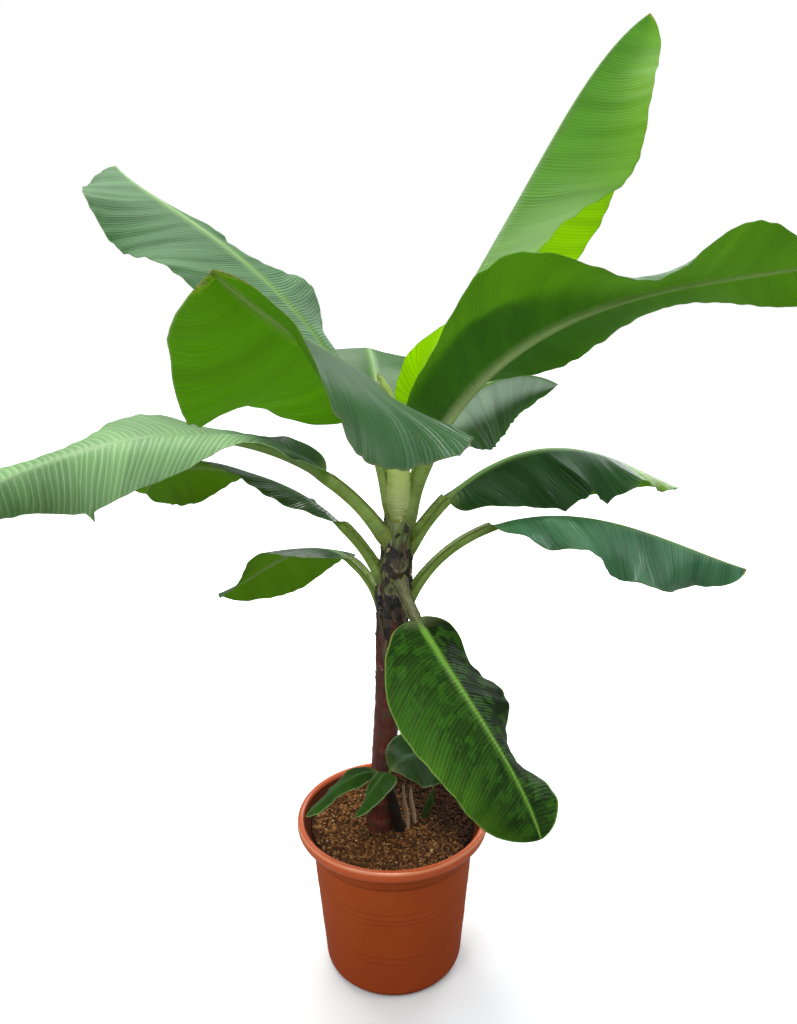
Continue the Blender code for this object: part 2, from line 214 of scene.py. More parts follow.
class Wire:
    """A value in a graph, which + and * join to another."""

    def __init__(self, graph: Graph, socket: Socket) -> None:
        """Keeps the graph and the socket that gives the value."""
        self.graph, self.socket = graph, socket

    def join(self, joint: Joint, other: Value) -> Wire:
        """This value and another, joined by a Math node."""
        return self.graph.math(joint, self, other)

    def __add__(self, other: Value) -> Wire:
        """This value and another together."""
        return self.join(Joint.ADD, other)

    def __mul__(self, other: Value) -> Wire:
        """This value times another."""
        return self.join(Joint.TIMES, other)

    def __sub__(self, other: Value) -> Wire:
        """This value less another."""
        return self.join(Joint.LESS, other)

    def __rsub__(self, other: float) -> Wire:
        """A number less this value."""
        return self.graph.math(Joint.LESS, other, self)

    def above(self) -> Wire:
        """This value, or 0 where it is less."""
        return self.join(Joint.MOST, 0.0)

    def fade(self, low: Value, high: Value) -> Wire:
        """An S-curve from 0 at low to 1 at high."""
        inputs = {"Value": self, "From Min": low, "From Max": high}
        return self.graph.node("ShaderNodeMapRange", inputs, interpolation_type="SMOOTHSTEP")

    def outputs(self) -> list[Wire]:
        """All the values that this one's node gives."""
        return [Wire(self.graph, socket) for socket in self.socket.node.outputs]


class Graph:
    """A short way to lay nodes in one tree."""

    def __init__(self, tree: bpy.types.NodeTree) -> None:
        """Keeps the tree that the nodes go into."""
        self.tree = tree

    def put(self, value: Value, socket: Socket) -> None:
        """Links a socket, or sets its number, colour or vector.

        Args:
            value: What it gets.
            socket: A node's input.
        """
        if isinstance(value, Wire):
            self.tree.links.new(value.socket, socket)
        else:
            socket.default_value = (*value, 1) if socket.type == "RGBA" else value

    def node(self, kind: str, inputs: dict[str | int, Value], out: str | int = 0, **settings: object) -> Wire:
        """Adds a node.

        Args:
            kind: Blender's name for it.
            inputs: What goes into its inputs, by name or number.
            out: The name or number of the output to give.
            settings: What it is set to before that.

        Returns:
            The output.
        """
        made = self.tree.nodes.new(kind)
        for name, value in settings.items():
            setattr(made, name, value)
        for name, value in inputs.items():
            self.put(value, made.inputs[name])
        return Wire(self, made.outputs[out])

    def math(self, joint: Joint, first: Value, second: Value) -> Wire:
        """Joins two values by a Math node."""
        return self.node("ShaderNodeMath", {0: first, 1: second}, operation=joint.value)

    def mix(self, factor: Value, first: Value, second: Value, way: str = "MIX") -> Wire:
        """Mixes two colours."""
        return self.node("ShaderNodeMix", {0: factor, 6: first, 7: second}, 2, data_type="RGBA", blend_type=way)

    def noise(self, place: Wire, scale: Value, detail: float = 3, rough: float = 0.55) -> Wire:
        """Cloudy noise from 0 to 1.

        Args:
            place: Where each point lies.
            scale: How fine it is, or one number for each axis.
            detail: How many finer layers it has.
            rough: How strong those are.

        Returns:
            The noise.
        """
        if isinstance(scale, tuple):
            place, scale = self.node("ShaderNodeVectorMath", {0: place, 1: scale}, operation="MULTIPLY"), 1
        inputs = {"Vector": place, "Scale": scale, "Detail": detail, "Roughness": rough}
        return self.node("ShaderNodeTexNoise", inputs)

    def place(self, kind: str = "Object") -> Wire:
        """Where a point lies."""
        return self.node("ShaderNodeTexCoord", {}, kind)

    def split(self, vector: Wire) -> list[Wire]:
        """A vector's three parts."""
        return self.node("ShaderNodeSeparateXYZ", {"Vector": vector}).outputs()

    def read(self, name: str, part: str = "Fac") -> Wire:
        """Reads an attribute of the mesh."""
        return self.node("ShaderNodeAttribute", {}, part, attribute_name=name)

    def seen(self) -> Wire:
        """1 where the camera looks straight at a point, and 0 for light that bounces."""
        return self.node("ShaderNodeLightPath", {}, "Is Camera Ray")

    def effect(self, group: bpy.types.NodeTree, inputs: dict[str, Value]) -> list[Wire]:
        """Places a shared effect, and gives its outputs."""
        return self.node("ShaderNodeGroup", inputs, node_tree=group).outputs()


class EffectGraph(Graph):
    """A shared effect: a node group with named inputs and outputs."""

    def __init__(self, name: str, inputs: dict[str, Value]) -> None:
        """Makes the effect's inputs.

        Args:
            name: Its name.
            inputs: The usual value of each, which tells its kind. None means a vector.
        """
        super().__init__(bpy.data.node_groups.new(name, "ShaderNodeTree"))
        for label, value in inputs.items():
            colour = isinstance(value, tuple)
            kind = "NodeSocketVector" if value is None else "NodeSocketColor" if colour else "NodeSocketFloat"
            made = self.tree.interface.new_socket(label, in_out="INPUT", socket_type=kind)
            if value is not None:
                made.default_value = (*value, 1) if colour else value
        start = self.tree.nodes.new("NodeGroupInput")
        self.pins = {label: Wire(self, start.outputs[label]) for label in inputs}

    def give(self, **outputs: Wire) -> bpy.types.NodeTree:
        """Makes the effect's outputs.

        Args:
            outputs: The value for each.

        Returns:
            The node group.
        """
        for label, wire in outputs.items():
            kind = "NodeSocketColor" if wire.socket.type == "RGBA" else "NodeSocketFloat"
            self.tree.interface.new_socket(label, in_out="OUTPUT", socket_type=kind)
        end = self.tree.nodes.new("NodeGroupOutput")
        for label, wire in outputs.items():
            self.put(wire, end.inputs[label])
        return self.tree


@cache
def veins_effect() -> bpy.types.NodeTree:
    """Side veins of a blade: broad bands, fine streaks, fine lines and their relief.

    Returns:
        The node group.
    """
    graph = EffectGraph("Blade veins", {"Place": None, "Per Metre": 90.0, "Width": 0.17})
    place = graph.pins["Place"]
    bands = graph.noise(place, (24, 2.5, 1), 2)
    streaks = graph.noise(place, (330, 5, 1), 3, 0.6)
    drift = graph.noise(place, (40, 9, 1), 1)
    count = graph.split(place)[0] * graph.pins["Per Metre"] + drift * 1.2
    saw = graph.node("ShaderNodeMath", {0: count, 1: 0.5}, operation="PINGPONG")
    lines, shade = saw.fade(graph.pins["Width"], 0.03), saw.fade(0.12, 0.50)
    return graph.give(Bands=bands, Streaks=streaks, Lines=lines, Shade=shade, Relief=streaks * 0.7 + shade * 0.4)


@cache
def blotches_effect() -> bpy.types.NodeTree:
    """Uneven patches with soft or hard edges.

    Returns:
        The node group.
    """
    graph = EffectGraph("Blotches", {"Place": None, "Scale": 20.0, "Cover": 0.5, "Softness": 0.1})
    place, scale, cover, softness = graph.pins.values()
    spread = graph.noise(place, scale, 4, 0.6).fade(0.25, 0.75)
    start = 1.0 - cover
    ends = {"From Min": start - softness, "From Max": start + softness}
    return graph.give(Mask=graph.node("ShaderNodeMapRange", {"Value": spread, **ends}))


@cache
def drying_effect() -> bpy.types.NodeTree:
    """Turns a colour to dry tan and dark brown where the plant has aged.

    Returns:
        The node group.
    """
    graph = EffectGraph("Drying", {"Colour": (0.1, 0.3, 0.1), "Place": None, "Age": 0.0})
    colour, place, age = graph.pins.values()
    level = age + graph.noise(place, 90, 4, 0.65) * 0.55
    brown = level.fade(0.80, 0.95)
    husk = graph.mix(graph.noise(place, 260, 2).fade(0.45, 0.62), (0.36, 0.24, 0.12), (0.07, 0.035, 0.018))
    colour = graph.mix(level.fade(0.62, 0.80), colour, (0.33, 0.34, 0.035))
    return graph.give(Colour=graph.mix(brown, colour, husk), Dry=brown)


class MaterialGraph(Graph):
    """The nodes of one material, round its Principled node."""

    def __init__(self, name: str) -> None:
        """Starts the material.

        Args:
            name: Its name.
        """
        self.material = bpy.data.materials.new(name)
        self.material.use_nodes = True
        super().__init__(self.material.node_tree)

    def close(
        self, colour: Value, rough: Value, specular: float = 0.5, bump: tuple[float, float, Wire] | None = None
    ) -> Material:
        """Feeds the Principled node.

        Args:
            colour: The base colour.
            rough: The roughness.
            specular: The specular level.
            bump: The relief's strength, its distance and its height.

        Returns:
            The material.
        """
        shader = self.tree.nodes["Principled BSDF"]
        feeds = {"Base Color": colour, "Roughness": rough, "Specular IOR Level": specular}
        if bump:
            feeds["Normal"] = self.node("ShaderNodeBump", dict(zip(("Strength", "Distance", "Height"), bump)))
        for name, value in feeds.items():
            self.put(value, shader.inputs[name])
        return self.material


class Finish:
    """A look that a piece can take."""

    def material(self) -> Material:
        """Builds the material."""
        raise NotImplementedError


@dataclass(frozen=True)
class SkinFinish(Finish):
    """One face of a living blade and its petiole: its greens, its veins, its midrib and how it lets light through."""

    name: str
    deep: Colour
    light: Colour
    rib: Colour
    through: Colour
    stalk: Colour = (0.47, 0.61, 0.195)
    vein: Colour = (0.16, 0.30, 0.07)
    rim: Colour = (0.12, 0.26, 0.04)
    # The colour that painted sheen turns the blade to; on a turning leaf, the real yellow of its tip.
    sheen_shade_tint: Colour = (0.40, 0.62, 0.38)
    vein_share: float = 0.34
    # How strong the painted shade in the furrows between the side veins is.
    furrow_shade: float = 0.7
    veins_per_metre: float = 150.0
    vein_width: float = 0.17
    contrast: float = 1.0
    mottle: float = 0.0
    mottled: Colour = (0.08, 0.22, 0.02)
    shine: float = 0.42
    specular: float = 0.28
    glow: float = 0.42

    def blade(self, graph: Graph, place: Wire, veins: list[Wire]) -> Wire:
        """Colour of the blade between its margin and its midrib.

        Args:
            graph: The material's graph.
            place: The place along and across the veins.
            veins: What the shared vein effect gives.

        Returns:
            The colour.
        """
        bands, streaks, lines, shade, _ = veins
        reach = 0.28 / self.contrast
        tone = graph.mix(0.45, bands, streaks).fade(0.5 - reach, 0.5 + reach)
        # Above 0 the attribute paints sheen and below 0 painted shade; on a turning tip it is real yellowing.
        sheen_shade_tint = graph.read("sheen_shade_tint")
        pale, painted_shade = sheen_shade_tint.above(), (sheen_shade_tint * -1.0).above()
        colour = graph.mix(painted_shade, graph.mix(tone, self.deep, self.light), scaled(self.deep, 0.35))
        colour = graph.mix(pale, colour, graph.mix(tone, scaled(self.sheen_shade_tint, 0.62), self.sheen_shade_tint))
        if self.mottle:
            short = graph.node("ShaderNodeVectorMath", {0: place, 1: (1, 0.6, 1)}, operation="MULTIPLY")
            cover = {"Place": short, "Scale": 58.0, "Cover": self.mottle, "Softness": 0.06}
            colour = graph.mix(graph.effect(blotches_effect(), cover)[0] * 0.75, colour, self.mottled)
        # Painted shade in the furrows between the side veins.
        dim = graph.mix(1.0, colour, (0.62, 0.66, 0.60), "MULTIPLY")
        colour = graph.mix(shade * self.furrow_shade, colour, dim)
        # The vein lines turn paler under the painted sheen.
        return graph.mix(lines * self.vein_share, colour, graph.mix(pale, self.vein, scaled(self.sheen_shade_tint, 1.5, 0.1)))

    def petiole(self, graph: Graph, place: Wire, fibre: Wire, rim: Wire) -> Wire:
        """Colour of the petiole.

        Args:
            graph: The material's graph.
            place: The place along and across the veins.
            fibre: Fine lines along the leaf.
            rim: Where the channel's edge is.

        Returns:
            The colour.
        """
        cloud = graph.noise(place, (26, 60, 1), 2).fade(0.35, 0.65)
        colour = graph.mix(cloud, scaled(self.stalk, 0.60), self.stalk)
        colour = graph.mix(fibre * 0.3, colour, scaled(self.stalk, 0.5))
        speck = graph.noise(place, (120, 420, 1)).fade(0.52, 0.66)
        colour = graph.mix(speck * 0.35, colour, (0.09, 0.08, 0.02))
        # Painted glow on the petiole's foot: lighter and yellower, as if lit through.
        colour = graph.mix(graph.read("sheen_shade_tint").above() * 0.85, colour, scaled(self.stalk, 1.4, 0.06))
        return graph.mix(rim, colour, graph.mix(speck, (0.060, 0.035, 0.014), (0.28, 0.26, 0.10)))

    @cache
    def material(self) -> Material:
        """Builds the material once, and gives the same one from then on.

        Returns:
            The material.
        """
        graph = MaterialGraph(self.name)
        place = graph.read("veins", "Vector")
        rib, rim, stalk = graph.split(graph.read("marks", "Vector"))
        inputs = {"Place": place, "Per Metre": self.veins_per_metre, "Width": self.vein_width}
        veins = graph.effect(veins_effect(), inputs)
        bands, streaks, lines, _, relief = veins
        colour = graph.mix(rim * (0.75 - stalk), self.blade(graph, place, veins), self.rim)
        fibre = graph.noise(place, (12, 900, 1), 2).fade(0.35, 0.65)
        colour = graph.mix(rib, colour, graph.mix(fibre, scaled(self.rib, 0.75), self.rib))
        colour = graph.mix(stalk, colour, self.petiole(graph, place, fibre, rim))
        aged = {"Colour": colour, "Place": place, "Age": graph.read("age")}
        colour, dry = graph.effect(drying_effect(), aged)
        rough = streaks * 0.18 + (self.shine - 0.09) + dry * 0.35
        made = graph.close(colour, rough, self.specular, (0.7, 0.0018, relief))
        through = graph.mix(bands, scaled(self.through, 0.75), self.through)
        through = graph.mix(lines * 0.25, through, (0.03, 0.10, 0.0))
        solid = graph.mix(stalk, scaled(self.rib, 1.2), scaled(self.stalk, 1.3))
        clear = graph.mix(rib.join(Joint.MOST, stalk), through, solid)
        faces = {
            0: self.glow,
            1: Wire(graph, graph.tree.nodes["Principled BSDF"].outputs[0]),
            2: graph.node("ShaderNodeBsdfTranslucent", {"Color": clear}),
        }
        graph.put(graph.node("ShaderNodeMixShader", faces), graph.tree.nodes["Material Output"].inputs["Surface"])
        return made


@dataclass(frozen=True)
class BladeFinish:
    """The upper and the under face of a blade."""

    upper: SkinFinish
    under: SkinFinish

    def vary(self, name: str, upper: dict[str, Value], under: dict[str, Value] | None = None) -> BladeFinish:
        """A finish like this one with other values.

        Args:
            name: What its faces are named after.
            upper: The upper face's own values.
            under: The under face's own values, or None to share this one's.

        Returns:
            The new finish.
        """
        made = replace(self.upper, name=name + "_upper", **upper)
        below = self.under if under is None else replace(self.under, name=name + "_under", **under)
        return BladeFinish(made, below)


CROWN = BladeFinish(
    SkinFinish("blade_upper", (0.028, 0.095, 0.028), (0.075, 0.195, 0.060), (0.26, 0.45, 0.14), (0.46, 0.84, 0.008)),
    SkinFinish(
        "blade_under", (0.034, 0.098, 0.016), (0.080, 0.185, 0.026), (0.50, 0.62, 0.26), (0.46, 0.78, 0.020),
        shine=0.55, specular=0.2, vein_share=0.22, furrow_shade=0.5,
    ),
)
NEWEST = CROWN.vary(
    "young",
    dict(deep=(0.080, 0.235, 0.018), light=(0.21, 0.46, 0.06), specular=0.2, glow=0.60, through=(0.52, 1.0, 0.004)),
    dict(through=(0.86, 1.0, 0.004), glow=0.66),
)
EDGED = dict(rim=(0.42, 0.42, 0.24), stalk=(0.62, 0.74, 0.28))
BROAD = CROWN.vary(
    "broad",
    dict(deep=(0.026, 0.088, 0.038), light=(0.072, 0.180, 0.088), specular=0.34, shine=0.38, **EDGED),
    dict(deep=(0.040, 0.125, 0.003), light=(0.085, 0.200, 0.006), through=(0.44, 0.82, 0.003), **EDGED),
)
SILVER = CROWN.vary(
    "silver",
    dict(
        deep=(0.020, 0.078, 0.028), light=(0.105, 0.24, 0.10), vein=(0.20, 0.38, 0.18), specular=0.08, shine=0.60,
        glow=0.30, contrast=1.5, vein_share=0.45,
    ),
    {},
)
# leaf_5's finish: the lighter colour of its outer part is a painted sheen.
PALE = CROWN.vary(
    "pale",
    dict(
        deep=(0.008, 0.032, 0.010), light=(0.024, 0.070, 0.022), rib=(0.42, 0.62, 0.32), vein=(0.06, 0.12, 0.05),
        vein_share=0.65, vein_width=0.08, furrow_shade=0.4, veins_per_metre=92.0, rim=(0.50, 0.66, 0.34),
        sheen_shade_tint=(0.345, 0.56, 0.275), specular=0.14,
    ),
    dict(veins_per_metre=92.0),
)
DARK = CROWN.vary(
    "dark",
    dict(
        deep=(0.005, 0.022, 0.007), light=(0.024, 0.078, 0.027), vein=(0.10, 0.22, 0.09), shine=0.30, specular=0.45,
        glow=0.21, contrast=1.5, rim=(0.10, 0.20, 0.05),
    ),
    dict(glow=0.56, through=(0.68, 0.96, 0.006)),
)
TURNING = DARK.vary(
    "turning",
    dict(sheen_shade_tint=(0.24, 0.44, 0.025), specular=0.08, deep=(0.004, 0.026, 0.007), light=(0.018, 0.078, 0.026)),
)
# Lighter, bluer greens than DARK: painted sky reflection over the leaf's own green.
SKY_SHEEN = DARK.vary("sky_sheen", dict(deep=(0.028, 0.125, 0.060), light=(0.115, 0.340, 0.185)))
# leaf_10's finish: its pale mint colour is a painted highlight.
MINTY = DARK.vary(
    "minty",
    dict(
        sheen_shade_tint=(0.80, 1.0, 0.83), specular=0.06, shine=0.50, deep=(0.010, 0.040, 0.016), light=(0.066, 0.140, 0.074),
        glow=0.26,
    ),
)
# leaf_12's finish: its lighter green on the right half's outer part is a painted sheen.
MOTTLED = CROWN.vary(
    "mottled",
    dict(
        deep=(0.003, 0.018, 0.002), light=(0.033, 0.100, 0.009), rib=(0.26, 0.54, 0.07), mottle=0.42,
        mottled=(0.042, 0.145, 0.009), vein_share=0.12, shine=0.40, specular=0.08, glow=0.22, contrast=1.5,
        sheen_shade_tint=(0.105, 0.260, 0.014), furrow_shade=0.5, rim=(0.34, 0.52, 0.10), stalk=(0.36, 0.36, 0.20),
    ),
    dict(glow=0.28, stalk=(0.36, 0.36, 0.20)),
)
SPROUT = CROWN.vary(
    "sprout",
    dict(
        deep=(0.005, 0.026, 0.001), light=(0.034, 0.130, 0.004), rib=(0.09, 0.22, 0.04), rim=(0.34, 0.50, 0.18),
        veins_per_metre=260.0, specular=0.12, glow=0.22, contrast=1.5,
    ),
    dict(veins_per_metre=260.0, glow=0.28),
)
SHADED = SPROUT.vary(
    "shaded",
    dict(
        deep=(0.003, 0.014, 0.003), light=(0.030, 0.085, 0.022), specular=0.25, shine=0.35, rib=(0.10, 0.20, 0.08)
    ),
)


@dataclass(frozen=True)
class Pleat:
    """A fold along the veins: its place, height and width, and the share by which it lengthens the blade there."""

    place: float
    height: float
    width: float
    tooth: float = 0.0

    def ridge(self, vein: Array) -> Array:
        """The fold's shape over these vein places, steep on its near side, from 0 to 1."""
        side = np.where(vein < self.place, 0.45, 1.0) * self.width
        return np.clip(1 - np.abs(vein - self.place) / side, 0, 1) ** 1.3


@dataclass(frozen=True)
class SheenShadeTint:
    """Painted sheen that makes a blade paler, the real yellowing of a turning tip, and below 0 painted shade: how
    strong, where it begins and is full along it, and likewise across it.
    """

    amount: float = 0.0
    start: float = -2.0
    full: float = -1.0
    dull: float = -2.0
    pale: float = -1.0

    def at(self, share: Array, across: Array) -> Array:
        """How much painted sheen or real yellowing the blade has there, or how much painted shade where it is below
        0.
        """
        return self.amount * smooth(share, self.start, self.full) * smooth(across, self.dull, self.pale)


@dataclass(frozen=True)
class Half:
    """One side of a blade.

    Its fold droops from the midrib, at the base, middle and tip, in degrees. Its ripple is the height of the edge's
    waves, their number along the blade, and the share of a wave at the base.
    """

    width: float
    fold: tuple[float, float, float]
    curl: float
    ripple: tuple[float, float, float]
    pleats: tuple[Pleat, ...] = ()
    # Painted sheen and painted shade on this side of the blade; on a turning leaf, real yellowing of its tip.
    sheen_shade_tint: SheenShadeTint = SheenShadeTint()


@dataclass(frozen=True)
class Stem:
    """A leaning round stem from the soil up, with its radius at heights above the soil."""

    foot: Pair
    head: Place
    girth: tuple[Pair, ...]

    def axis(self, height: Array) -> Array:
        """The stem's middle line.

        Args:
            height: Heights above the floor.

        Returns:
            Its points at these heights.
        """
        height = np.asarray(height, float)
        share = (height - SOIL_TOP) / (self.head[2] - SOIL_TOP)
        across, back = (self.foot[i] + share * (self.head[i] - self.foot[i]) for i in (0, 1))
        return np.stack([across, back, height], -1)

    def radius(self, height: Array) -> Array:
        """The girth's radius at these heights."""
        return np.interp(height - SOIL_TOP, *zip(*self.girth))


@dataclass(frozen=True)
class Frond:
    """A leaf: where its petiole leaves the stem's axis, its lengths, how it bends and how it looks."""

    node: str
    height: float
    petiole: float
    blade: float
    stalk: float
    pitch: tuple[float, ...]
    bearing: tuple[float, ...]
    roll: tuple[float, ...]
    left: Half
    right: Half
    finish: BladeFinish = CROWN
    creases: float = 0.0018
    crease_length: float = 0.050
    dry_tip: float = 0.012
    start_shift: Place = (0.0, 0.0, 0.0)
    lobe: float = 0.7
    yellowed: float = 0.06
    # How far up the petiole a painted glow reaches from its foot, as a share of the petiole.
    painted_glow_foot: float = 0.0


TRUNK = Stem(
    (-0.025, -0.015), (0.020, 0.000, 0.980),
    ((0.000, 0.0280), (0.030, 0.0255), (0.120, 0.0240), (0.280, 0.0240), (0.400, 0.0270), (0.470, 0.0305),
     (0.540, 0.0295), (0.610, 0.0260), (0.660, 0.0210), (0.684, 0.0120)),
)
SUCKER = Stem(
    (0.015, -0.028), (-0.010, -0.056, 0.435),
    ((0.000, 0.0110), (0.020, 0.0105), (0.070, 0.0090), (0.120, 0.0075), (0.145, 0.0045)),
)

# Painted sheen: near the base of leaf_3, and over the outer part of leaf_5.
SILVER_SHEEN = SheenShadeTint(0.40, 0.42, 0.12)
OUTER_SHEEN = SheenShadeTint(1.0, 0.17, 0.30)
TRUNK_LEAVES = (
    Frond(
        "leaf_1", 0.906, 0.212, 0.871, 0.028, (108, 10, 95, 32), (51, 8, 24), (9, 24, 7),
        Half(0.172, (3, 98, 76), 6, (0.011, 2.26, 0.49)),
        Half(0.178, (-60, 82, 50), -20, (0.022, 2.46, 0.16)),
        NEWEST,
    ),
    Frond(
        "leaf_2", 0.917, 0.139, 0.793, 0.028, (78, 49, -12, 13), (-9, 1, -23), (29, 41, 27),
        Half(0.144, (-35, -12, 7), -2, (0.036, 1.59, 0.19)),
        Half(0.182, (-59, 50, 9), 15, (0.039, 2.36, 0.42)),
        dry_tip=0.0,
    ),
    Frond(
        "leaf_3", 0.941, 0.248, 0.820, 0.026, (83, 42, 18, 24), (160, 159, 121), (-2, 16, -1),
        Half(0.164, (0, 21, 6), 10, (0.019, 2.72, 0.18), sheen_shade_tint=SILVER_SHEEN),
        Half(0.152, (4, 22, 51), 19, (0.023, 2.64, 0.42), sheen_shade_tint=SILVER_SHEEN),
        SILVER, 0.0022,
    ),
    Frond(
        "leaf_4", 0.944, 0.373, 0.428, 0.028, (90, -2, 11, 22), (272, 247, 250), (-22, 16, 0),
        Half(
            0.214, (65, 46, 9), 0, (-0.063, 1.00, 0.48),
            tuple(Pleat(0.035 + 0.052 * i, 0.0042, 0.026) for i in range(6)),
        ),
        Half(0.166, (48, 16, 55), -39, (0.034, 1.52, 0.84)),
        # A painted glow at its petiole's foot.
        BROAD, 0.0024, dry_tip=0.035, painted_glow_foot=0.35,
    ),
    Frond(
        "leaf_5", 0.884, 0.179, 0.645, 0.030, (60, 22, -20, -28), (191, 204, 202), (-4, -10, 54),
        Half(0.112, (-15, 21, 86), 62, (0.015, 2.82, 0.51), (Pleat(0.385, 0.0, 0.012, 0.20),), OUTER_SHEEN),
        Half(0.141, (-33, 18, 27), 16, (0.023, 1.93, 0.32), sheen_shade_tint=OUTER_SHEEN),
        PALE, yellowed=0.12,
    ),
    Frond(
        "leaf_6", 0.798, 0.148, 0.564, 0.024, (69, 20, -8, -35), (172, 174, 116), (-2, -23, -4),
        Half(0.099, (3, 2, 10), 26, (0.015, 1.96, 0.45)),
        Half(0.107, (37, -25, 80), 20, (0.016, 2.32, 0.01)),
        DARK, 0.0030,
    ),
    Frond(
        "leaf_7", 0.729, 0.149, 0.393, 0.021, (68, -1, -58, -23), (132, 135, 169), (-1, -12, -18),
        Half(0.095, (8, -17, 40), 18, (0.007, 2.11, 0.32)),
        Half(0.095, (4, 49, 49), 13, (0.005, 2.03, 0.52)),
        DARK,
    ),
    Frond(
        "leaf_8", 0.856, 0.146, 0.544, 0.026, (55, 35, -33, -28), (23, 30, 7), (-5, 6, 7),
        Half(0.139, (32, 72, 17), 13, (0.014, 2.22, 0.09)),
        Half(
            0.133, (52, 62, 2), 23, (0.013, 3.53, 0.62),
            (Pleat(0.115, 0.006, 0.040), Pleat(0.150, -0.006, 0.030, 0.10), Pleat(0.217, 0.016, 0.040, -0.10),
             Pleat(0.272, -0.005, 0.030, 0.12), Pleat(0.360, 0.008, 0.040, -0.12)),
            SheenShadeTint(0.85, 0.70, 0.77),
        ),
        TURNING, 0.0022, dry_tip=0.0, lobe=1.6, yellowed=0.16,
    ),
    Frond(
        "leaf_9", 0.734, 0.264, 0.499, 0.022, (70, 12, -36, -18), (18, -2, -2), (3, -16, -23),
        Half(0.122, (20, 71, 60), -7, (0.004, 3.14, 0.02)),
        Half(0.114, (16, 22, 72), 31, (0.026, 2.89, 0.33)),
        SKY_SHEEN, 0.0030, lobe=1.6,
    ),
    Frond(
        "leaf_10", 0.891, 0.239, 0.515, 0.022, (65, 25, 10, -20), (66, 50, 47), (-10, -15, -29),
        # Painted sheen: over the whole left half, and near the midrib on the right half.
        Half(0.126, (-11, 27, 46), 11, (0.009, 2.45, 0.96), sheen_shade_tint=SheenShadeTint(1.0)),
        Half(0.141, (56, 75, 95), 4, (0.002, 2.93, 0.43), sheen_shade_tint=SheenShadeTint(1.0, dull=0.60, pale=0.25)),
        MINTY, 0.0022,
    ),
    Frond(
        "leaf_11", 0.898, 0.259, 0.597, 0.024, (78, 32, 4, -38), (105, 96, 89), (3, -7, 2),
        Half(0.126, (-14, 13, 31), 16, (0.010, 2.32, 0.04)),
        Half(0.130, (-19, 25, 44), 10, (0.012, 2.66, 0.08)),
    ),
    Frond(
        "leaf_12", 0.803, 0.126, 0.401, 0.022, (0, -49, -37, -70), (278, 326, 323), (-13, 15, -3),
        # Painted shade over the left half up to near the tip, and painted sheen over the outer part of the right
        # half.
        Half(0.126, (1, 57, -10), 7, (0.025, 1.89, 0.39), sheen_shade_tint=SheenShadeTint(-0.95, 0.98, 0.70)),
        Half(0.145, (-11, 13, 16), 27, (0.013, 1.63, 0.17), sheen_shade_tint=SheenShadeTint(0.9, 0.10, 0.75, 0.45, 1.05)),
        MOTTLED, dry_tip=0.0, start_shift=(0.005, -0.010, 0.012),
    ),
)

SUCKER_LEAVES = (
    Frond(
        "sucker_leaf_1", 0.424, 0.027, 0.169, 0.006, (64, -16, -57, -42), (214, 208, 177), (17, -22, -1),
        Half(0.0265, (24, 14, 17), 4, (0.0035, 2.01, 0.19)),
        Half(0.0384, (6, 26, 1), 3, (0.0008, 2.87, 0.35)),
        SPROUT, 0.0010, 0.030,
    ),
    Frond(
        "sucker_leaf_2", 0.428, 0.027, 0.130, 0.006, (63, 14, -39, -46), (272, 243, 217), (3, -17, -16),
        Half(0.0325, (10, 22, 7), 14, (0.0008, 2.10, 0.96)),
        Half(0.0246, (-6, 49, 30), 18, (0.0018, 1.82, 0.29)),
        SPROUT, 0.0010, 0.030,
    ),
    Frond(
        "sucker_leaf_3", 0.433, 0.014, 0.171, 0.006, (75, 17, -23, -57), (-13, 1, -14), (-23, 1, 1),
        Half(0.0530, (-70, 15, 28), 3, (0.0059, 1.92, 0.17)),
        Half(0.0601, (47, 62, 59), 5, (0.0063, 1.79, 0.27)),
        SHADED, 0.0020, 0.040,
    ),
)


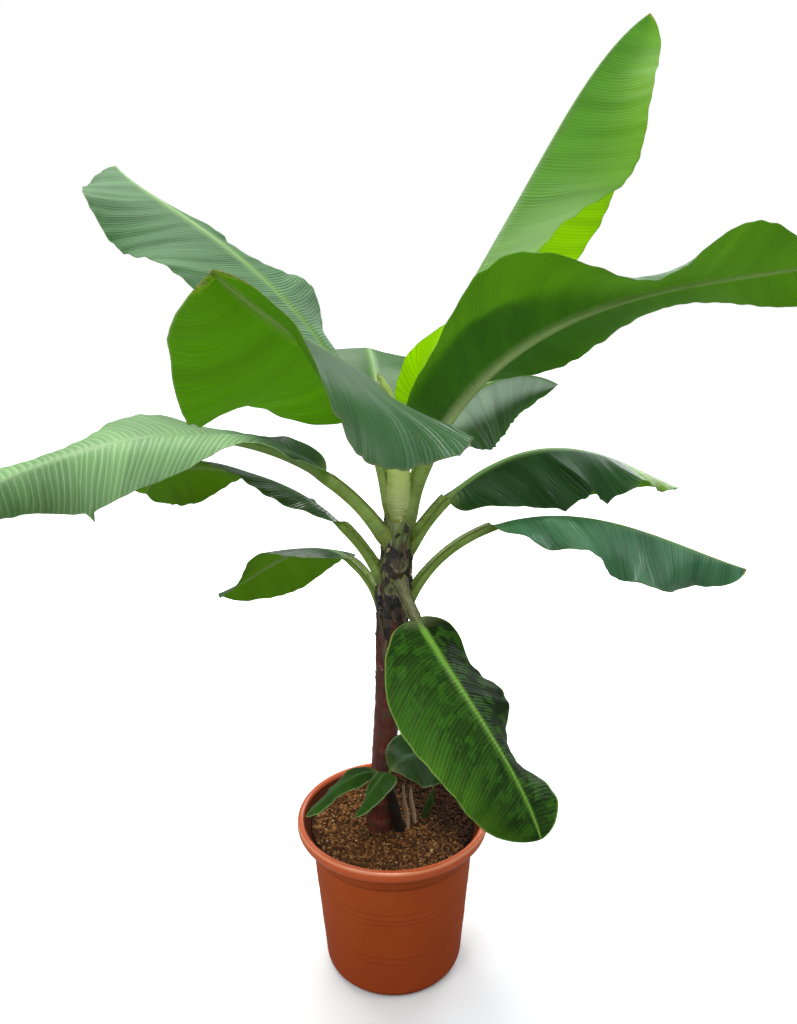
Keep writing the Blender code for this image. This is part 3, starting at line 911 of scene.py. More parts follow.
@dataclass
class BananaLeaf:
    """One leaf: a channelled petiole that opens into a thin folded blade with a raised midrib."""

    frond: Frond
    stem: Stem
    seed: int
    slot: str = "banana_leaf"
    rows: int = 150
    petiole_rows: int = 30
    blade_steps: int = 17
    thickness: float = 0.0009
    root: float = 0.060
    vein_slant: float = 0.12
    vein_bend: float = 0.30
    least_width: float = 0.05
    channel_turn: float = 122
    rib_steps: tuple[float, ...] = (0, 0.3, 0.58, 0.8, 0.94, 1)
    line_steps: int = 240
    along: Array = field(init=False)
    line: Array = field(init=False)

    def __post_init__(self) -> None:
        """Walks along the leaf's heading once, for its middle line."""
        self.along = np.linspace(0, self.frond.petiole + self.frond.blade, self.line_steps + 1)
        tangent = self.tangent(self.along)
        aside = circle(0.6 * self.stem.radius(self.frond.height), math.radians(self.frond.bearing[0]))
        moves = (tangent[1:] + tangent[:-1]) / 2 * self.along[1]
        self.line = self.stem.axis(self.frond.height) + aside + np.vstack([np.zeros(3), np.cumsum(moves, axis=0)])

    def heading(self, along: Array) -> tuple[Array, Array]:
        """Pitch and bearing at these distances."""
        share = np.clip(along / self.along[-1], 0, 1)
        return np.radians(blend(self.frond.pitch, share)), np.radians(blend(self.frond.bearing, share))

    def tangent(self, along: Array) -> Array:
        """The leaf's direction at these distances."""
        pitch, bearing = self.heading(along)
        return circle(np.cos(pitch), bearing, np.sin(pitch))

    def centre(self, along: Array) -> Array:
        """The leaf's middle line, which runs straight back into the stem before its start.

        Args:
            along: Distances from its start.

        Returns:
            Its points there.
        """
        inside = np.clip(along, 0, self.along[-1])
        point = np.stack([np.interp(inside, self.along, self.line[:, i]) for i in range(3)], -1)
        early = 1 - smooth(along, 0, 1.1 * self.frond.petiole)
        point = point + early[:, None] * np.array(self.frond.start_shift)
        return point + (along - inside)[:, None] * self.tangent(inside)

    def frame(self, along: Array) -> tuple[Array, Array]:
        """How the leaf faces.

        Args:
            along: Distances from its start.

        Returns:
            The directions to the right and out of the upper face.
        """
        bearing, ahead = self.heading(along)[1], self.tangent(along)
        right = np.stack([np.sin(bearing), -np.cos(bearing), 0 * bearing], -1)
        roll = np.radians(blend(self.frond.roll, self.share(along)))[:, None]
        side = np.cos(roll) * right + np.sin(roll) * np.cross(right, ahead)
        return side, np.cross(side, ahead)

    def share(self, along: Array) -> Array:
        """How far along the blade, from 0 at its base to 1."""
        return np.clip((along - self.frond.petiole) / self.frond.blade, 0, 1)

    @staticmethod
    def outline(share: Array, belly: float = 0.42) -> Array:
        """Half width of a banana blade.

        Args:
            share: How far along the blade.
            belly: Where it is widest.

        Returns:
            The half width, as a share of its widest.
        """
        rise = np.sin(np.pi / 2 * np.clip(share / belly, 0, 1)) ** 0.55
        fall = (1 - np.clip((share - belly) / (1 - belly), 0, 1) ** 2.2) ** 0.62
        return np.where(share < belly, rise, fall)

    def vein(self, share: Array, out: Array, half: Half) -> Array:
        """Where the side vein through a point leaves the midrib, as a distance along the blade."""
        bend = self.vein_bend / max(half.width, self.least_width)
        return share * self.frond.blade - self.vein_slant * out - bend * out**2

    def stations(self) -> Array:
        """Places the rings, close together where the blade opens.

        Returns:
            Their distances along the leaf.
        """
        even = np.linspace(0, 1, self.rows + 1)
        shares = (even + (1 - np.cos(np.pi * even)) / 2) / 2
        stalk = np.linspace(-self.root, self.frond.petiole, self.petiole_rows)
        return np.concatenate([stalk[:-1], self.frond.petiole + shares * self.frond.blade])

    def steps(self, share: Array, rib: Array, half: Half, sign: int) -> tuple[Array, Array]:
        """How far out from the midrib each ring's points lie.

        Args:
            share: How far along the blade each ring is.
            rib: Half the midrib's width.
            half: The side's width and pleats.
            sign: -1 on the left and 1 on the right.

        Returns:
            The distances, also as shares of the blade's own reach there.
        """
        reach = self.outline(share) * half.width
        edge = 1 + 0.012 * waver(share * self.frond.blade, 0.06, self.seed + sign)
        outer = self.vein(share, reach, half)
        edge = edge + sum((pleat.tooth * pleat.ridge(outer) for pleat in half.pleats), 0.0)
        reach = np.maximum(reach * edge, rib * 1.06)
        steps = 1 - (1 - np.linspace(0, 1, self.blade_steps + 1)[1:-1]) ** 1.35
        out = [np.array(self.rib_steps) * rib, rib + (reach - rib) * np.append(steps, [0.985, 1.0])]
        return np.concatenate(out, axis=1), reach

    def half(self, along: Array, half: Half, side: Side) -> dict[str, Array]:
        """One side of the leaf, by ring and by steps out from the midrib.

        Args:
            along: Distances of the rings.
            half: The side's width, fold and waves.
            side: Which side it is.

        Returns:
            Points of the upper and under face, and what the materials read.
        """
        frond, sign = self.frond, side.value
        share = self.share(along)[:, None]
        way, up = (part[:, None] for part in self.frame(along))
        rib = 0.26 * frond.stalk * (1 - share) ** 0.8 + 0.0005 + 0.03 * frond.stalk
        out, reach = self.steps(share, rib, half, sign)
        across = out / reach
        fold, curl = np.radians(blend(half.fold, share)), math.radians(half.curl)
        slope = (fold + curl * (across - 1) / 2)[..., None]
        chord = (out * np.sinc(curl * across / WHOLE_TURN))[..., None]
        point = self.centre(along)[:, None] + chord * (sign * np.cos(slope) * way - np.sin(slope) * up)
        turn = (fold + curl * (across - 0.5))[..., None]
        normal = np.cos(turn) * up + sign * np.sin(turn) * way
        height, waves, phase = half.ripple
        wave = np.sin(WHOLE_TURN * (waves * share + phase)) * np.minimum(1.5 * self.outline(share), 1)
        vein = self.vein(share, out, half)
        crease = frond.creases * waver(vein, frond.crease_length, self.seed + 0.5 * sign)
        crease = crease + sum((pleat.height * pleat.ridge(vein) for pleat in half.pleats), 0.0)
        crease = crease * smooth(out - rib, 0, 0.7 * half.width)
        fine = frond.creases * 0.8 * waver(share * frond.blade, 0.05, 2.3 * self.seed + sign) * across**6
        point = point + (height * across**2 * wave + crease + fine)[..., None] * normal
        lobe = frond.stalk * frond.lobe * across**1.5 * (1 - smooth(share, 0, 0.09))
        point = point - lobe[..., None] * self.tangent(along)[:, None]
        hollow = 1 - np.clip(out / rib, 0, 1) ** 2
        depth = (0.40 * frond.stalk * (1 - 0.75 * share) * np.sqrt(hollow))[..., None]
        groove = (0.10 * frond.stalk * (1 - share) * hollow)[..., None]
        step = np.linspace(0, 1, out.shape[1])
        middle = (step == 0)[:, None]
        faces = point + self.thickness * np.where(middle, up, normal) - groove * up, point - depth * up
        opened = smooth(along, frond.petiole - 0.02, frond.petiole + 0.025)[:, None]
        shut = 1 - opened
        over, under = (
            opened[..., None] * face + shut[..., None] * tube
            for face, tube in zip(faces, self.petiole(along, step, sign))
        )
        # Painted glow on the foot of the petiole, near the channel's middle.
        pale = (1 - smooth(along / frond.petiole, frond.painted_glow_foot, 1.6 * frond.painted_glow_foot + 0.001))[:, None]
        pale = pale * (frond.painted_glow_foot > 0) * (1 - smooth(step, 0.15, 0.62))
        return {
            "over": over,
            "under": under,
            "rib": opened * (1 - smooth(out / rib, 0.80, 1.20)),
            "rim": opened * smooth(out - reach, -0.0028, -0.0008) + shut * smooth(step, 0.80, 0.97),
            "stalk": shut + 0 * out,
            "vein": vein + (along - frond.petiole)[:, None] * shut,
            "out": sign * out,
            # Painted sheen and shade on the blade, and the painted glow on the petiole's foot.
            "sheen_shade_tint": opened * half.sheen_shade_tint.at(share, across) + shut * pale,
        }

    def petiole(self, along: Array, step: Array, sign: int) -> list[Array]:
        """One side of the petiole's channel, which widens into a sheath at its foot.

        Args:
            along: Distances of the rings.
            step: How far from the middle to the edge each point is, from 0 to 1.
            sign: -1 on the left and 1 on the right.

        Returns:
            Points of its inner and of its outer face.
        """
        half = self.frond.stalk / 2
        side, up = (part[:, None] for part in self.frame(along))
        foot = 1 - smooth(along, -0.02, 0.55 * self.frond.petiole)
        drawn = 0.30 + 0.70 * smooth(along, -self.root, 0.3 * self.root)
        wide = (half * (1.02 + 0.70 * foot) * drawn)[:, None]
        bulge = (1.05 * half * (1 + 0.25 * foot) * drawn)[:, None]
        turn = np.radians(self.channel_turn) * step
        outer = np.stack([sign * wide * np.sin(turn), -bulge * np.cos(turn)], -1)
        inner = np.stack([sign * wide * 0.80 * step, bulge * (0.62 * step**2 - 0.15 * (1 - step**2))], -1)
        inner[:, -1] = 0.5 * inner[:, -1] + 0.5 * outer[:, -1]
        centre = self.centre(along)[:, None]
        return [centre + face[..., :1] * side + face[..., 1:] * up for face in (inner, outer)]

    def age(self, along: Array) -> Array:
        """How dry the leaf is: its tip, and the foot of its petiole.

        Args:
            along: Distances from its start.

        Returns:
            The dryness there, from 0.
        """
        tip = 0.70 * smooth(self.share(along), 1 - 1.5 * self.frond.dry_tip - 0.001, 1)
        foot = 0.40 * (1 - smooth(along, 0, self.frond.yellowed))
        return np.maximum(tip * (self.frond.dry_tip > 0), foot)

    def build(self) -> Thing:
        """Makes the leaf's skin, with what its materials read and a flat map of it.

        Returns:
            The leaf.
        """
        along = self.stations()
        left = self.half(along, self.frond.left, Side.LEFT)
        right = self.half(along, self.frond.right, Side.RIGHT)
        rings = []
        for face, first, last in (("over", left, right), ("under", right, left)):
            middle = (first[face][:, :1] + last[face][:, :1]) / 2
            rings += [first[face][:, :0:-1], middle, last[face][:, 1:]]
        rings = np.concatenate(rings, axis=1)
        finish = self.frond.finish
        obj = ring_object(self.frond.node + "_skin", rings, finish.upper, finish.under)
        rib, rim, stalk, vein, out, sheen_shade_tint = (
            np.concatenate([left[name][:, :0:-1], right[name], right[name][:, :0:-1], left[name]], axis=1)
            for name in ("rib", "rim", "stalk", "vein", "out", "sheen_shade_tint")
        )
        paint(obj, "veins", vein, out, 3.7 * self.seed)
        paint(obj, "marks", rib, rim, stalk)
        # Painted sheen and shade on the blade, painted glow at the petiole's foot, and real yellowing on a turning
        # tip.
        paint(obj, "sheen_shade_tint", sheen_shade_tint)
        paint(obj, "age", self.age(along)[:, None] + 0.10 * rim)
        count = rings.shape[1]
        lay_map(obj, along, count)
        faces = np.arange(len(obj.data.polygons))
        lower = (faces % count >= count // 2 - 1) | (faces >= (len(along) - 1) * count)
        obj.data.polygons.foreach_set("material_index", lower.astype(np.int32))
        return obj

    def dress(self) -> None:
        """Builds the leaf and hands it over in place of its solid."""
        show(self.build(), self.slot, self.frond.node)


@dataclass(frozen=True)
class SheathFinish(Finish):
    """Overlapping leaf sheaths: red-brown below, black and brown where old ones died, green above."""

    name: str = "sheaths"
    red: Colour = (0.165, 0.026, 0.014)
    husk: Colour = (0.070, 0.046, 0.020)
    black: Colour = (0.012, 0.009, 0.007)
    green: Colour = (0.150, 0.200, 0.048)
    pale: Colour = (0.260, 0.230, 0.115)

    def material(self) -> Material:
        """Builds the material.

        Returns:
            The material.
        """
        graph = MaterialGraph(self.name)
        place = graph.read("place", "Vector")
        fresh, rim, low = graph.split(graph.read("marks", "Vector"))
        fibre = graph.noise(place, (420, 14, 1), 3, 0.6)
        cloud = graph.noise(place, (60, 22, 1), 4, 0.6)
        patch = graph.noise(place, (62.4, 39, 1.3), 3, 0.5)
        husk = graph.mix(cloud.fade(0.44, 0.56), self.husk, self.black)
        husk = graph.mix(patch.fade(0.60, 0.68), husk, self.pale)
        green = graph.mix(fibre.fade(0.35, 0.65), self.green, scaled(self.green, 0.55))
        green = graph.mix(cloud.fade(0.56, 0.66), green, self.pale)
        colour = graph.mix((fresh * 0.60 + cloud * 0.7).fade(0.72, 0.92), husk, green)
        red = graph.mix(cloud.fade(0.35, 0.7), self.red, scaled(self.red, 0.40))
        red = graph.mix(patch.fade(0.56, 0.66), red, self.husk)
        colour = graph.mix((low + patch * 0.6).fade(0.62, 0.95), colour, red)
        colour = graph.mix(fibre.fade(0.45, 0.75) * 0.40, colour, self.black)
        edge = graph.mix(fibre.fade(0.48, 0.62), self.black, (0.26, 0.20, 0.11))
        colour = graph.mix(rim * (1.0 - low), colour, edge)
        soot = graph.mix(fibre, (0.004, 0.004, 0.004), (0.030, 0.024, 0.020))
        colour = graph.mix(graph.read("char"), colour, soot)
        return graph.close(colour, cloud * 0.40 + 0.28, bump=(0.8, 0.002, fibre + cloud * 1.2))


@dataclass
class Pseudostem:
    """A false stem: leaf sheaths rolled round each other, each ending where its leaf leaves."""

    name: str
    node: str
    stem: Stem
    fronds: tuple[Frond, ...]
    finish: SheathFinish
    red_top: float
    charred: float = 0.0
    drop: float = 0.30
    step: float = 0.0016
    sunk: float = 0.015
    wrap: float = 1.05
    opening: float = 0.62
    most_steps: int = 6
    rows: int = 420
    columns: int = 144

    def sheaths(self, height: Array, turn: Array, girth: Array) -> tuple[Array, Array, Array]:
        """Lays the sheaths over each other, from the lowest leaf's outwards in.

        Args:
            height: Each point's height.
            turn: Where it is round the stem.
            girth: The stem's radius there.

        Returns:
            How many sheaths have ended there, how near the outermost one's edge is and how fresh that one is.
        """
        ended, rim, fresh = (np.zeros_like(height) for _ in range(3))
        covered = np.zeros(height.shape, bool)
        for order, frond in enumerate(sorted(self.fronds, key=lambda leaf: leaf.height)):
            away = np.abs((turn - math.radians(frond.bearing[0]) + np.pi) % WHOLE_TURN - np.pi)
            away = away + 0.16 * waver(height, 0.06, order + 0.3) + 0.05 * waver(height, 0.012, order + 0.1)
            leave = smooth(height, frond.height - self.drop * (0.7 + 0.6 * ((order * 0.37) % 1)), frond.height)
            half = np.pi * self.wrap * (1 - leave) + self.opening * leave
            inside = (away < half) & (height < frond.height + 0.012)
            seen = inside & ~covered
            near = 1 - smooth(np.abs(half - away) * girth, 0.0005, 0.0035)
            rim = np.maximum(rim, near * seen)
            own = smooth(height, frond.height - 0.50 * self.drop, frond.height - 0.10 * self.drop)
            fresh = np.where(seen, own, fresh)
            ended = ended + (~inside & ~covered)
            covered |= inside
        return ended, rim, np.where(covered, fresh, 1.0)

    def build(self) -> Thing:
        """Makes the stem's skin with a step at the edge of each sheath.

        Returns:
            The stem.
        """
        heights = np.linspace(SOIL_TOP - self.sunk, self.stem.head[2] + 0.004, self.rows)
        turns = np.linspace(0, WHOLE_TURN, self.columns, endpoint=False)
        height, turn = np.meshgrid(heights, turns, indexing="ij")
        girth = self.stem.radius(height)
        ended, rim, fresh = self.sheaths(height, turn, girth)
        fresh = fresh * smooth(height, self.charred - 0.015, self.charred + 0.02)
        steps = self.step * np.minimum(ended, self.most_steps)
        radius = girth + steps.mean(axis=1, keepdims=True) - steps
        radius = radius + 0.0004 * waver(turn * girth, 0.011, 1.7) + 0.0007 * waver(height, 0.037, 0.9)
        ragged = height - self.charred + 0.005 * waver(turn, 1.3, 0.6) + 0.003 * waver(turn, 0.31, 0.2)
        char = (1 - smooth(np.abs(ragged), 0.006, 0.011)) * (self.charred > 0)
        radius = radius + char * (0.0022 + 0.0012 * waver(turn * girth, 0.006, 0.5))
        low = 1 - smooth(height + 0.03 * waver(turn, 2.1, 0.4), self.red_top - 0.14, self.red_top + 0.04)
        obj = ring_object(self.name, self.stem.axis(heights)[:, None] + circle(radius, turn), self.finish)
        paint(obj, "place", np.sin(turn) * 0.03, height, np.cos(turn) * 0.3)
        paint(obj, "marks", fresh, rim, low)
        paint(obj, "char", char)
        lay_map(obj, heights, self.columns)
        return obj

    def dress(self) -> None:
        """Builds the stem and hands it over in place of its solid."""
        show(self.build(), "leaf_sheath", self.node)


@dataclass(frozen=True)
class StrawFinish(Finish):
    """A dry fibrous stalk, or a young green one."""

    name: str
    dark: Colour
    light: Colour
    rough: float = 0.8

    def material(self) -> Material:
        """Builds the material.

        Returns:
            The material.
        """
        graph = MaterialGraph(self.name)
        fibre = graph.noise(graph.read("place", "Vector"), (700, 25, 1), 3, 0.6)
        colour = graph.mix(fibre.fade(0.35, 0.68), self.dark, self.light)
        return graph.close(colour, self.rough, bump=(0.6, 0.0008, fibre))


@dataclass
class Scraps:
    """Dry ragged strips of dead sheath that cling to a stem, joined as one piece."""

    name: str
    stem: Stem
    count: int
    heights: Pair
    width: Pair
    length: Pair
    proud: Pair
    finish: StrawFinish
    seed: int
    thickness: float = 0.0006
    rows: int = 12
    columns: int = 7

    def strip(self, rng: np.random.Generator) -> Array:
        """One strip, as rings that run over its outer face and back under it.

        Args:
            rng: The order of chance.

        Returns:
            Points by row and column.
        """
        middle, length, width = (rng.uniform(*ends) for ends in (self.heights, self.length, self.width))
        share = np.linspace(0, 1, self.rows)[:, None]
        step = np.linspace(-1, 1, self.columns)[None]
        wave = rng.uniform(0, 9)
        half = width / 2 * np.sin(np.pi * (0.04 + 0.92 * share)) ** 0.5 * (1 + 0.35 * waver(share, 0.35, wave))
        height = middle + length * (share - 0.5) + 0.12 * width * waver(step + share, 0.7, wave)
        girth = self.stem.radius(height)
        turn = rng.uniform(0, WHOLE_TURN) + rng.normal(0, 0.25) * (share - 0.5) + half * step / girth
        lift = rng.uniform(*self.proud) * (0.25 + np.abs(share - rng.uniform(0.2, 0.8)) ** 1.6 * 2.2)
        lift = lift + 0.35 * lift * step**2
        axis = self.stem.axis(height)
        outer, inner = (axis + circle(girth + lift + extra, turn) for extra in (self.thickness, 0.0))
        return np.concatenate([outer[:, ::-1], inner], axis=1)

    def build(self) -> Thing:
        """Makes all the strips.

        Returns:
            The strips as one piece.
        """
        rng = np.random.default_rng(self.seed)
        strips = np.stack([self.strip(rng) for _ in range(self.count)])
        around = 2 * self.columns
        faces = [
            [corner + number * self.rows * around for corner in face]
            for number in range(self.count)
            for face in ring_faces(self.rows, around, -1)
        ]
        obj = face_object(self.name, strips, faces, self.finish)
        level = np.append(np.arange(self.columns), np.arange(self.columns)[::-1])
        paint(obj, "place", 0.0015 * level, strips[..., 2], 1.7 * np.arange(self.count)[:, None, None])
        return obj

    def dress(self) -> None:
        """Builds the strips and hands them over."""
        show(self.build(), "dried_leaf")


@dataclass(frozen=True)
class PlasticFinish(Finish):
    """Moulded terracotta plastic, a little scuffed and dusty, painted lighter towards the top as if lit from above,
    with the painted shade and highlight that the mesh gives.
    """

    name: str = "pot_plastic"
    colour: Colour = (0.430, 0.066, 0.012)
    lit_top: Colour = (0.520, 0.092, 0.017)
    specular: float = 0.10
    shine: float = 0.42

    def material(self) -> Material:
        """Builds the material.

        Returns:
            The material.
        """
        graph = MaterialGraph(self.name)
        place, painted_shade_and_highlight = graph.place(), graph.read("painted_shade_and_highlight")
        cloud = graph.noise(place, 14, 4, 0.6)
        # Painted light: the colour turns lighter towards the top, as if lit from above.
        level = cloud * 0.5 + graph.split(place)[2] * 1.6
        colour = graph.mix(level.fade(0.25, 0.80), self.colour, self.lit_top)
        dust = {"Place": place, "Scale": 90.0, "Cover": 0.30, "Softness": 0.25}
        colour = graph.mix(graph.effect(blotches_effect(), dust)[0] * 0.06, colour, (0.50, 0.14, 0.05))
        speckle = graph.noise(place, 420, 2).fade(0.40, 0.60)
        colour = graph.mix(speckle * 0.16, colour, scaled(self.colour, 0.55))
        # Painted shade inside the rim, under the band and under the mould rings.
        colour = graph.mix(painted_shade_and_highlight.above(), colour, (0.050, 0.014, 0.006))
        # Painted highlight along the bead's crest, where the value is below 0.
        colour = graph.mix((painted_shade_and_highlight * -1.0).above(), colour, (0.95, 0.36, 0.17))
        relief = (0.12, 0.0004, graph.noise(place, 700, 2))
        return graph.close(colour, cloud * 0.16 + self.shine, self.specular, relief)


@dataclass
class Pot:
    """A thin-walled round pot with a rolled rim, a band, faint mould rings and a rounded foot."""

    height: float = 0.320
    rim_radius: float = 0.190
    rim_width: float = 0.014
    rim_depth: float = 0.024
    neck_radius: float = 0.1635
    foot_radius: float = 0.137
    rounding: float = 0.020
    wall: float = 0.0035
    flare: float = 0.004
    flare_depth: float = 0.012
    band_depth: float = 0.033
    band_proud: float = 0.0035
    rings: tuple[float, ...] = (0.205, 0.191, 0.181, 0.103, 0.088)
    ring_width: float = 0.0016
    ring_proud: float = 0.0005
    inner_rows: int = 5
    bead_rows: int = 40
    bead_turn: Pair = (178, -95)
    columns: int = 180
    plastic: PlasticFinish = PlasticFinish()
    # The bead's colours are lighter than the body's: painted light on the rolled rim.
    bead: PlasticFinish = PlasticFinish("pot_bead", (0.590, 0.086, 0.016), (0.680, 0.115, 0.025), 0.50, 0.16)

    def body(self, height: Array) -> Array:
        """Outer radius of the body, which widens evenly from foot to rim."""
        return self.foot_radius + (self.neck_radius - self.foot_radius) * height / (self.height - self.rim_depth)

    def ridges(self, height: Array) -> Array:
        """The mould rings' shape at these heights, from 0 to 1."""
        return sum(np.exp(-(((height - ring) / self.ring_width) ** 2)) for ring in self.rings)

    def bead_angles(self) -> Array:
        """Where the bead's points lie round its section, in degrees from straight out."""
        return np.linspace(*self.bead_turn, self.bead_rows)

    def painted_shade_and_highlight(self, profile: Array) -> Array:
        """How much painted shade each point of the profile gets: the inside, and under the band and the rings.

        Args:
            profile: Radius and height of the points.

        Returns:
            How much painted shade they get. It is below 0 where a painted highlight lies along the bead's crest.
        """
        height, row = profile[:, 1], np.arange(len(profile))
        foot = self.height - self.rim_depth - self.band_depth
        # Painted shadow under the band's foot and under each mould ring.
        outside = 0.42 * np.exp(-(((height - foot + 0.002) / 0.0022) ** 2)) + 0.16 * self.ridges(height + 0.0020)
        outside = outside * (row >= self.inner_rows + self.bead_rows)
        # Painted shade inside the rim and on the bead's inner side.
        painted_shade_and_highlight = np.where(row < self.inner_rows + 3, 0.9, outside)
        # Painted highlight along the bead's crest, at 40 degrees from straight out.
        crest = np.exp(-(((self.bead_angles() - 40) / 13) ** 2))
        painted_shade_and_highlight[self.inner_rows : self.inner_rows + self.bead_rows] -= 0.85 * crest
        return painted_shade_and_highlight

    def profile(self) -> Array:
        """Draws the pot's section, up the inside, over the rim and down the outside.

        Returns:
            Radius and height of its points.
        """
        neck = self.height - self.rim_depth
        band_foot = neck - self.band_depth
        upper, lower, low = self.body(neck), self.body(band_foot), self.body(self.rounding)
        inside = [
            (0.03, self.wall),
            (low - self.rounding, self.wall),
            (low - self.wall, self.rounding),
            (upper - self.wall, neck - self.flare_depth),
            (upper - self.wall + self.flare, neck - 0.002),
        ]
        angles = np.radians(self.bead_angles())
        curve = np.stack([np.cos(angles), np.sin(angles)], -1)
        middle = np.array((self.rim_radius - self.rim_width / 2, self.height - self.rim_depth / 2))
        over = middle + np.sign(curve) * np.abs(curve) ** 0.9 * (self.rim_width / 2, self.rim_depth / 2)
        band = [
            (upper + self.band_proud + 0.002, neck - 0.0005),
            (upper + self.band_proud, neck - 0.003),
            (lower + self.band_proud, band_foot + 0.003),
            (lower + self.band_proud - 0.001, band_foot + 0.001),
            (lower - 0.0003, band_foot),
            (lower - 0.0003, band_foot - 0.002),
        ]
        down = np.linspace(band_foot - 0.004, self.rounding, 90)
        wall = np.stack([self.body(down) + self.ring_proud * self.ridges(down), down], -1)
        bend = np.radians(np.linspace(-8, -90, 12))
        foot = np.stack([low - self.rounding + self.rounding * np.cos(bend), self.rounding * (1 + np.sin(bend))], -1)
        return np.vstack([inside, over, band, wall, foot, [(0.03, 0.0)]])

    def build(self) -> Thing:
        """Turns the profile round the pot's axis.

        Returns:
            The pot.
        """
        profile = self.profile()
        turns = np.linspace(WHOLE_TURN, 0, self.columns, endpoint=False)
        obj = ring_object("pot_skin", circle(profile[:, :1], turns, profile[:, 1:]), self.plastic, self.bead)
        length = np.append(0, np.cumsum(np.linalg.norm(np.diff(profile, axis=0), axis=1)))
        lay_map(obj, length, self.columns)
        paint(obj, "painted_shade_and_highlight", np.repeat(self.painted_shade_and_highlight(profile), self.columns))
        row = np.arange(len(obj.data.polygons)) // self.columns
        beaded = (row >= self.inner_rows) & (row < self.inner_rows + self.bead_rows)
        obj.data.polygons.foreach_set("material_index", beaded.astype(np.int32))
        return obj

    def dress(self) -> None:
        """Builds the pot and hands it over in place of its solid."""
        show(self.build(), "terracotta_plastic", "pot")


@dataclass(frozen=True)
class EarthFinish(Finish):
    """Crumbly potting mix, or one kind of bit in it, with painted shadow to the right and towards the back."""

    name: str
    dark: Colour
    light: Colour
    scale: float = 260.0

    def material(self) -> Material:
        """Builds the material.

        Returns:
            The material.
        """
        graph = MaterialGraph(self.name)
        place = graph.place()
        cloud = graph.noise(place, self.scale, 4, 0.65)
        colour = graph.mix(cloud.fade(0.35, 0.68), self.dark, self.light)
        across, back, _ = graph.split(place)
        # Painted shadow: darker to the right and towards the back, where the leaves shade the soil.
        painted_shadow = (across + graph.noise(place, 14, 2) * 0.08 + back * 0.75).fade(0.040, 0.160) * 0.95
        colour = graph.mix(painted_shadow, colour, graph.mix(1.0, colour, (0.17, 0.14, 0.12), "MULTIPLY"))
        return graph.close(colour, cloud * 0.25 + 0.70, 0.12, (0.7, 0.001, cloud))


@dataclass(frozen=True)
class Grit:
    """One kind of loose bit on the soil: how many, how big and how long, and its finish."""

    name: str
    count: int
    size: Pair
    slender: float
    finish: EarthFinish


GRITS = (
    Grit(
        "soil_crumbs_dark", 2000, (0.0050, 0.0110), 1.3,
        EarthFinish("crumb_dark", (0.050, 0.018, 0.005), (0.135, 0.053, 0.015)),
    ),
    Grit(
        "soil_crumbs_brown", 2400, (0.0040, 0.0090), 1.5,
        EarthFinish("crumb_brown", (0.165, 0.063, 0.017), (0.35, 0.147, 0.044)),
    ),
    Grit(
        "soil_crumbs_tan", 900, (0.0030, 0.0065), 1.7,
        EarthFinish("crumb_tan", (0.41, 0.205, 0.075), (0.64, 0.38, 0.155)),
    ),
    Grit(
        "soil_crumbs_pale", 130, (0.0026, 0.0052), 1.1,
        EarthFinish("crumb_pale", (0.50, 0.42, 0.30), (0.70, 0.62, 0.48)),
    ),
)


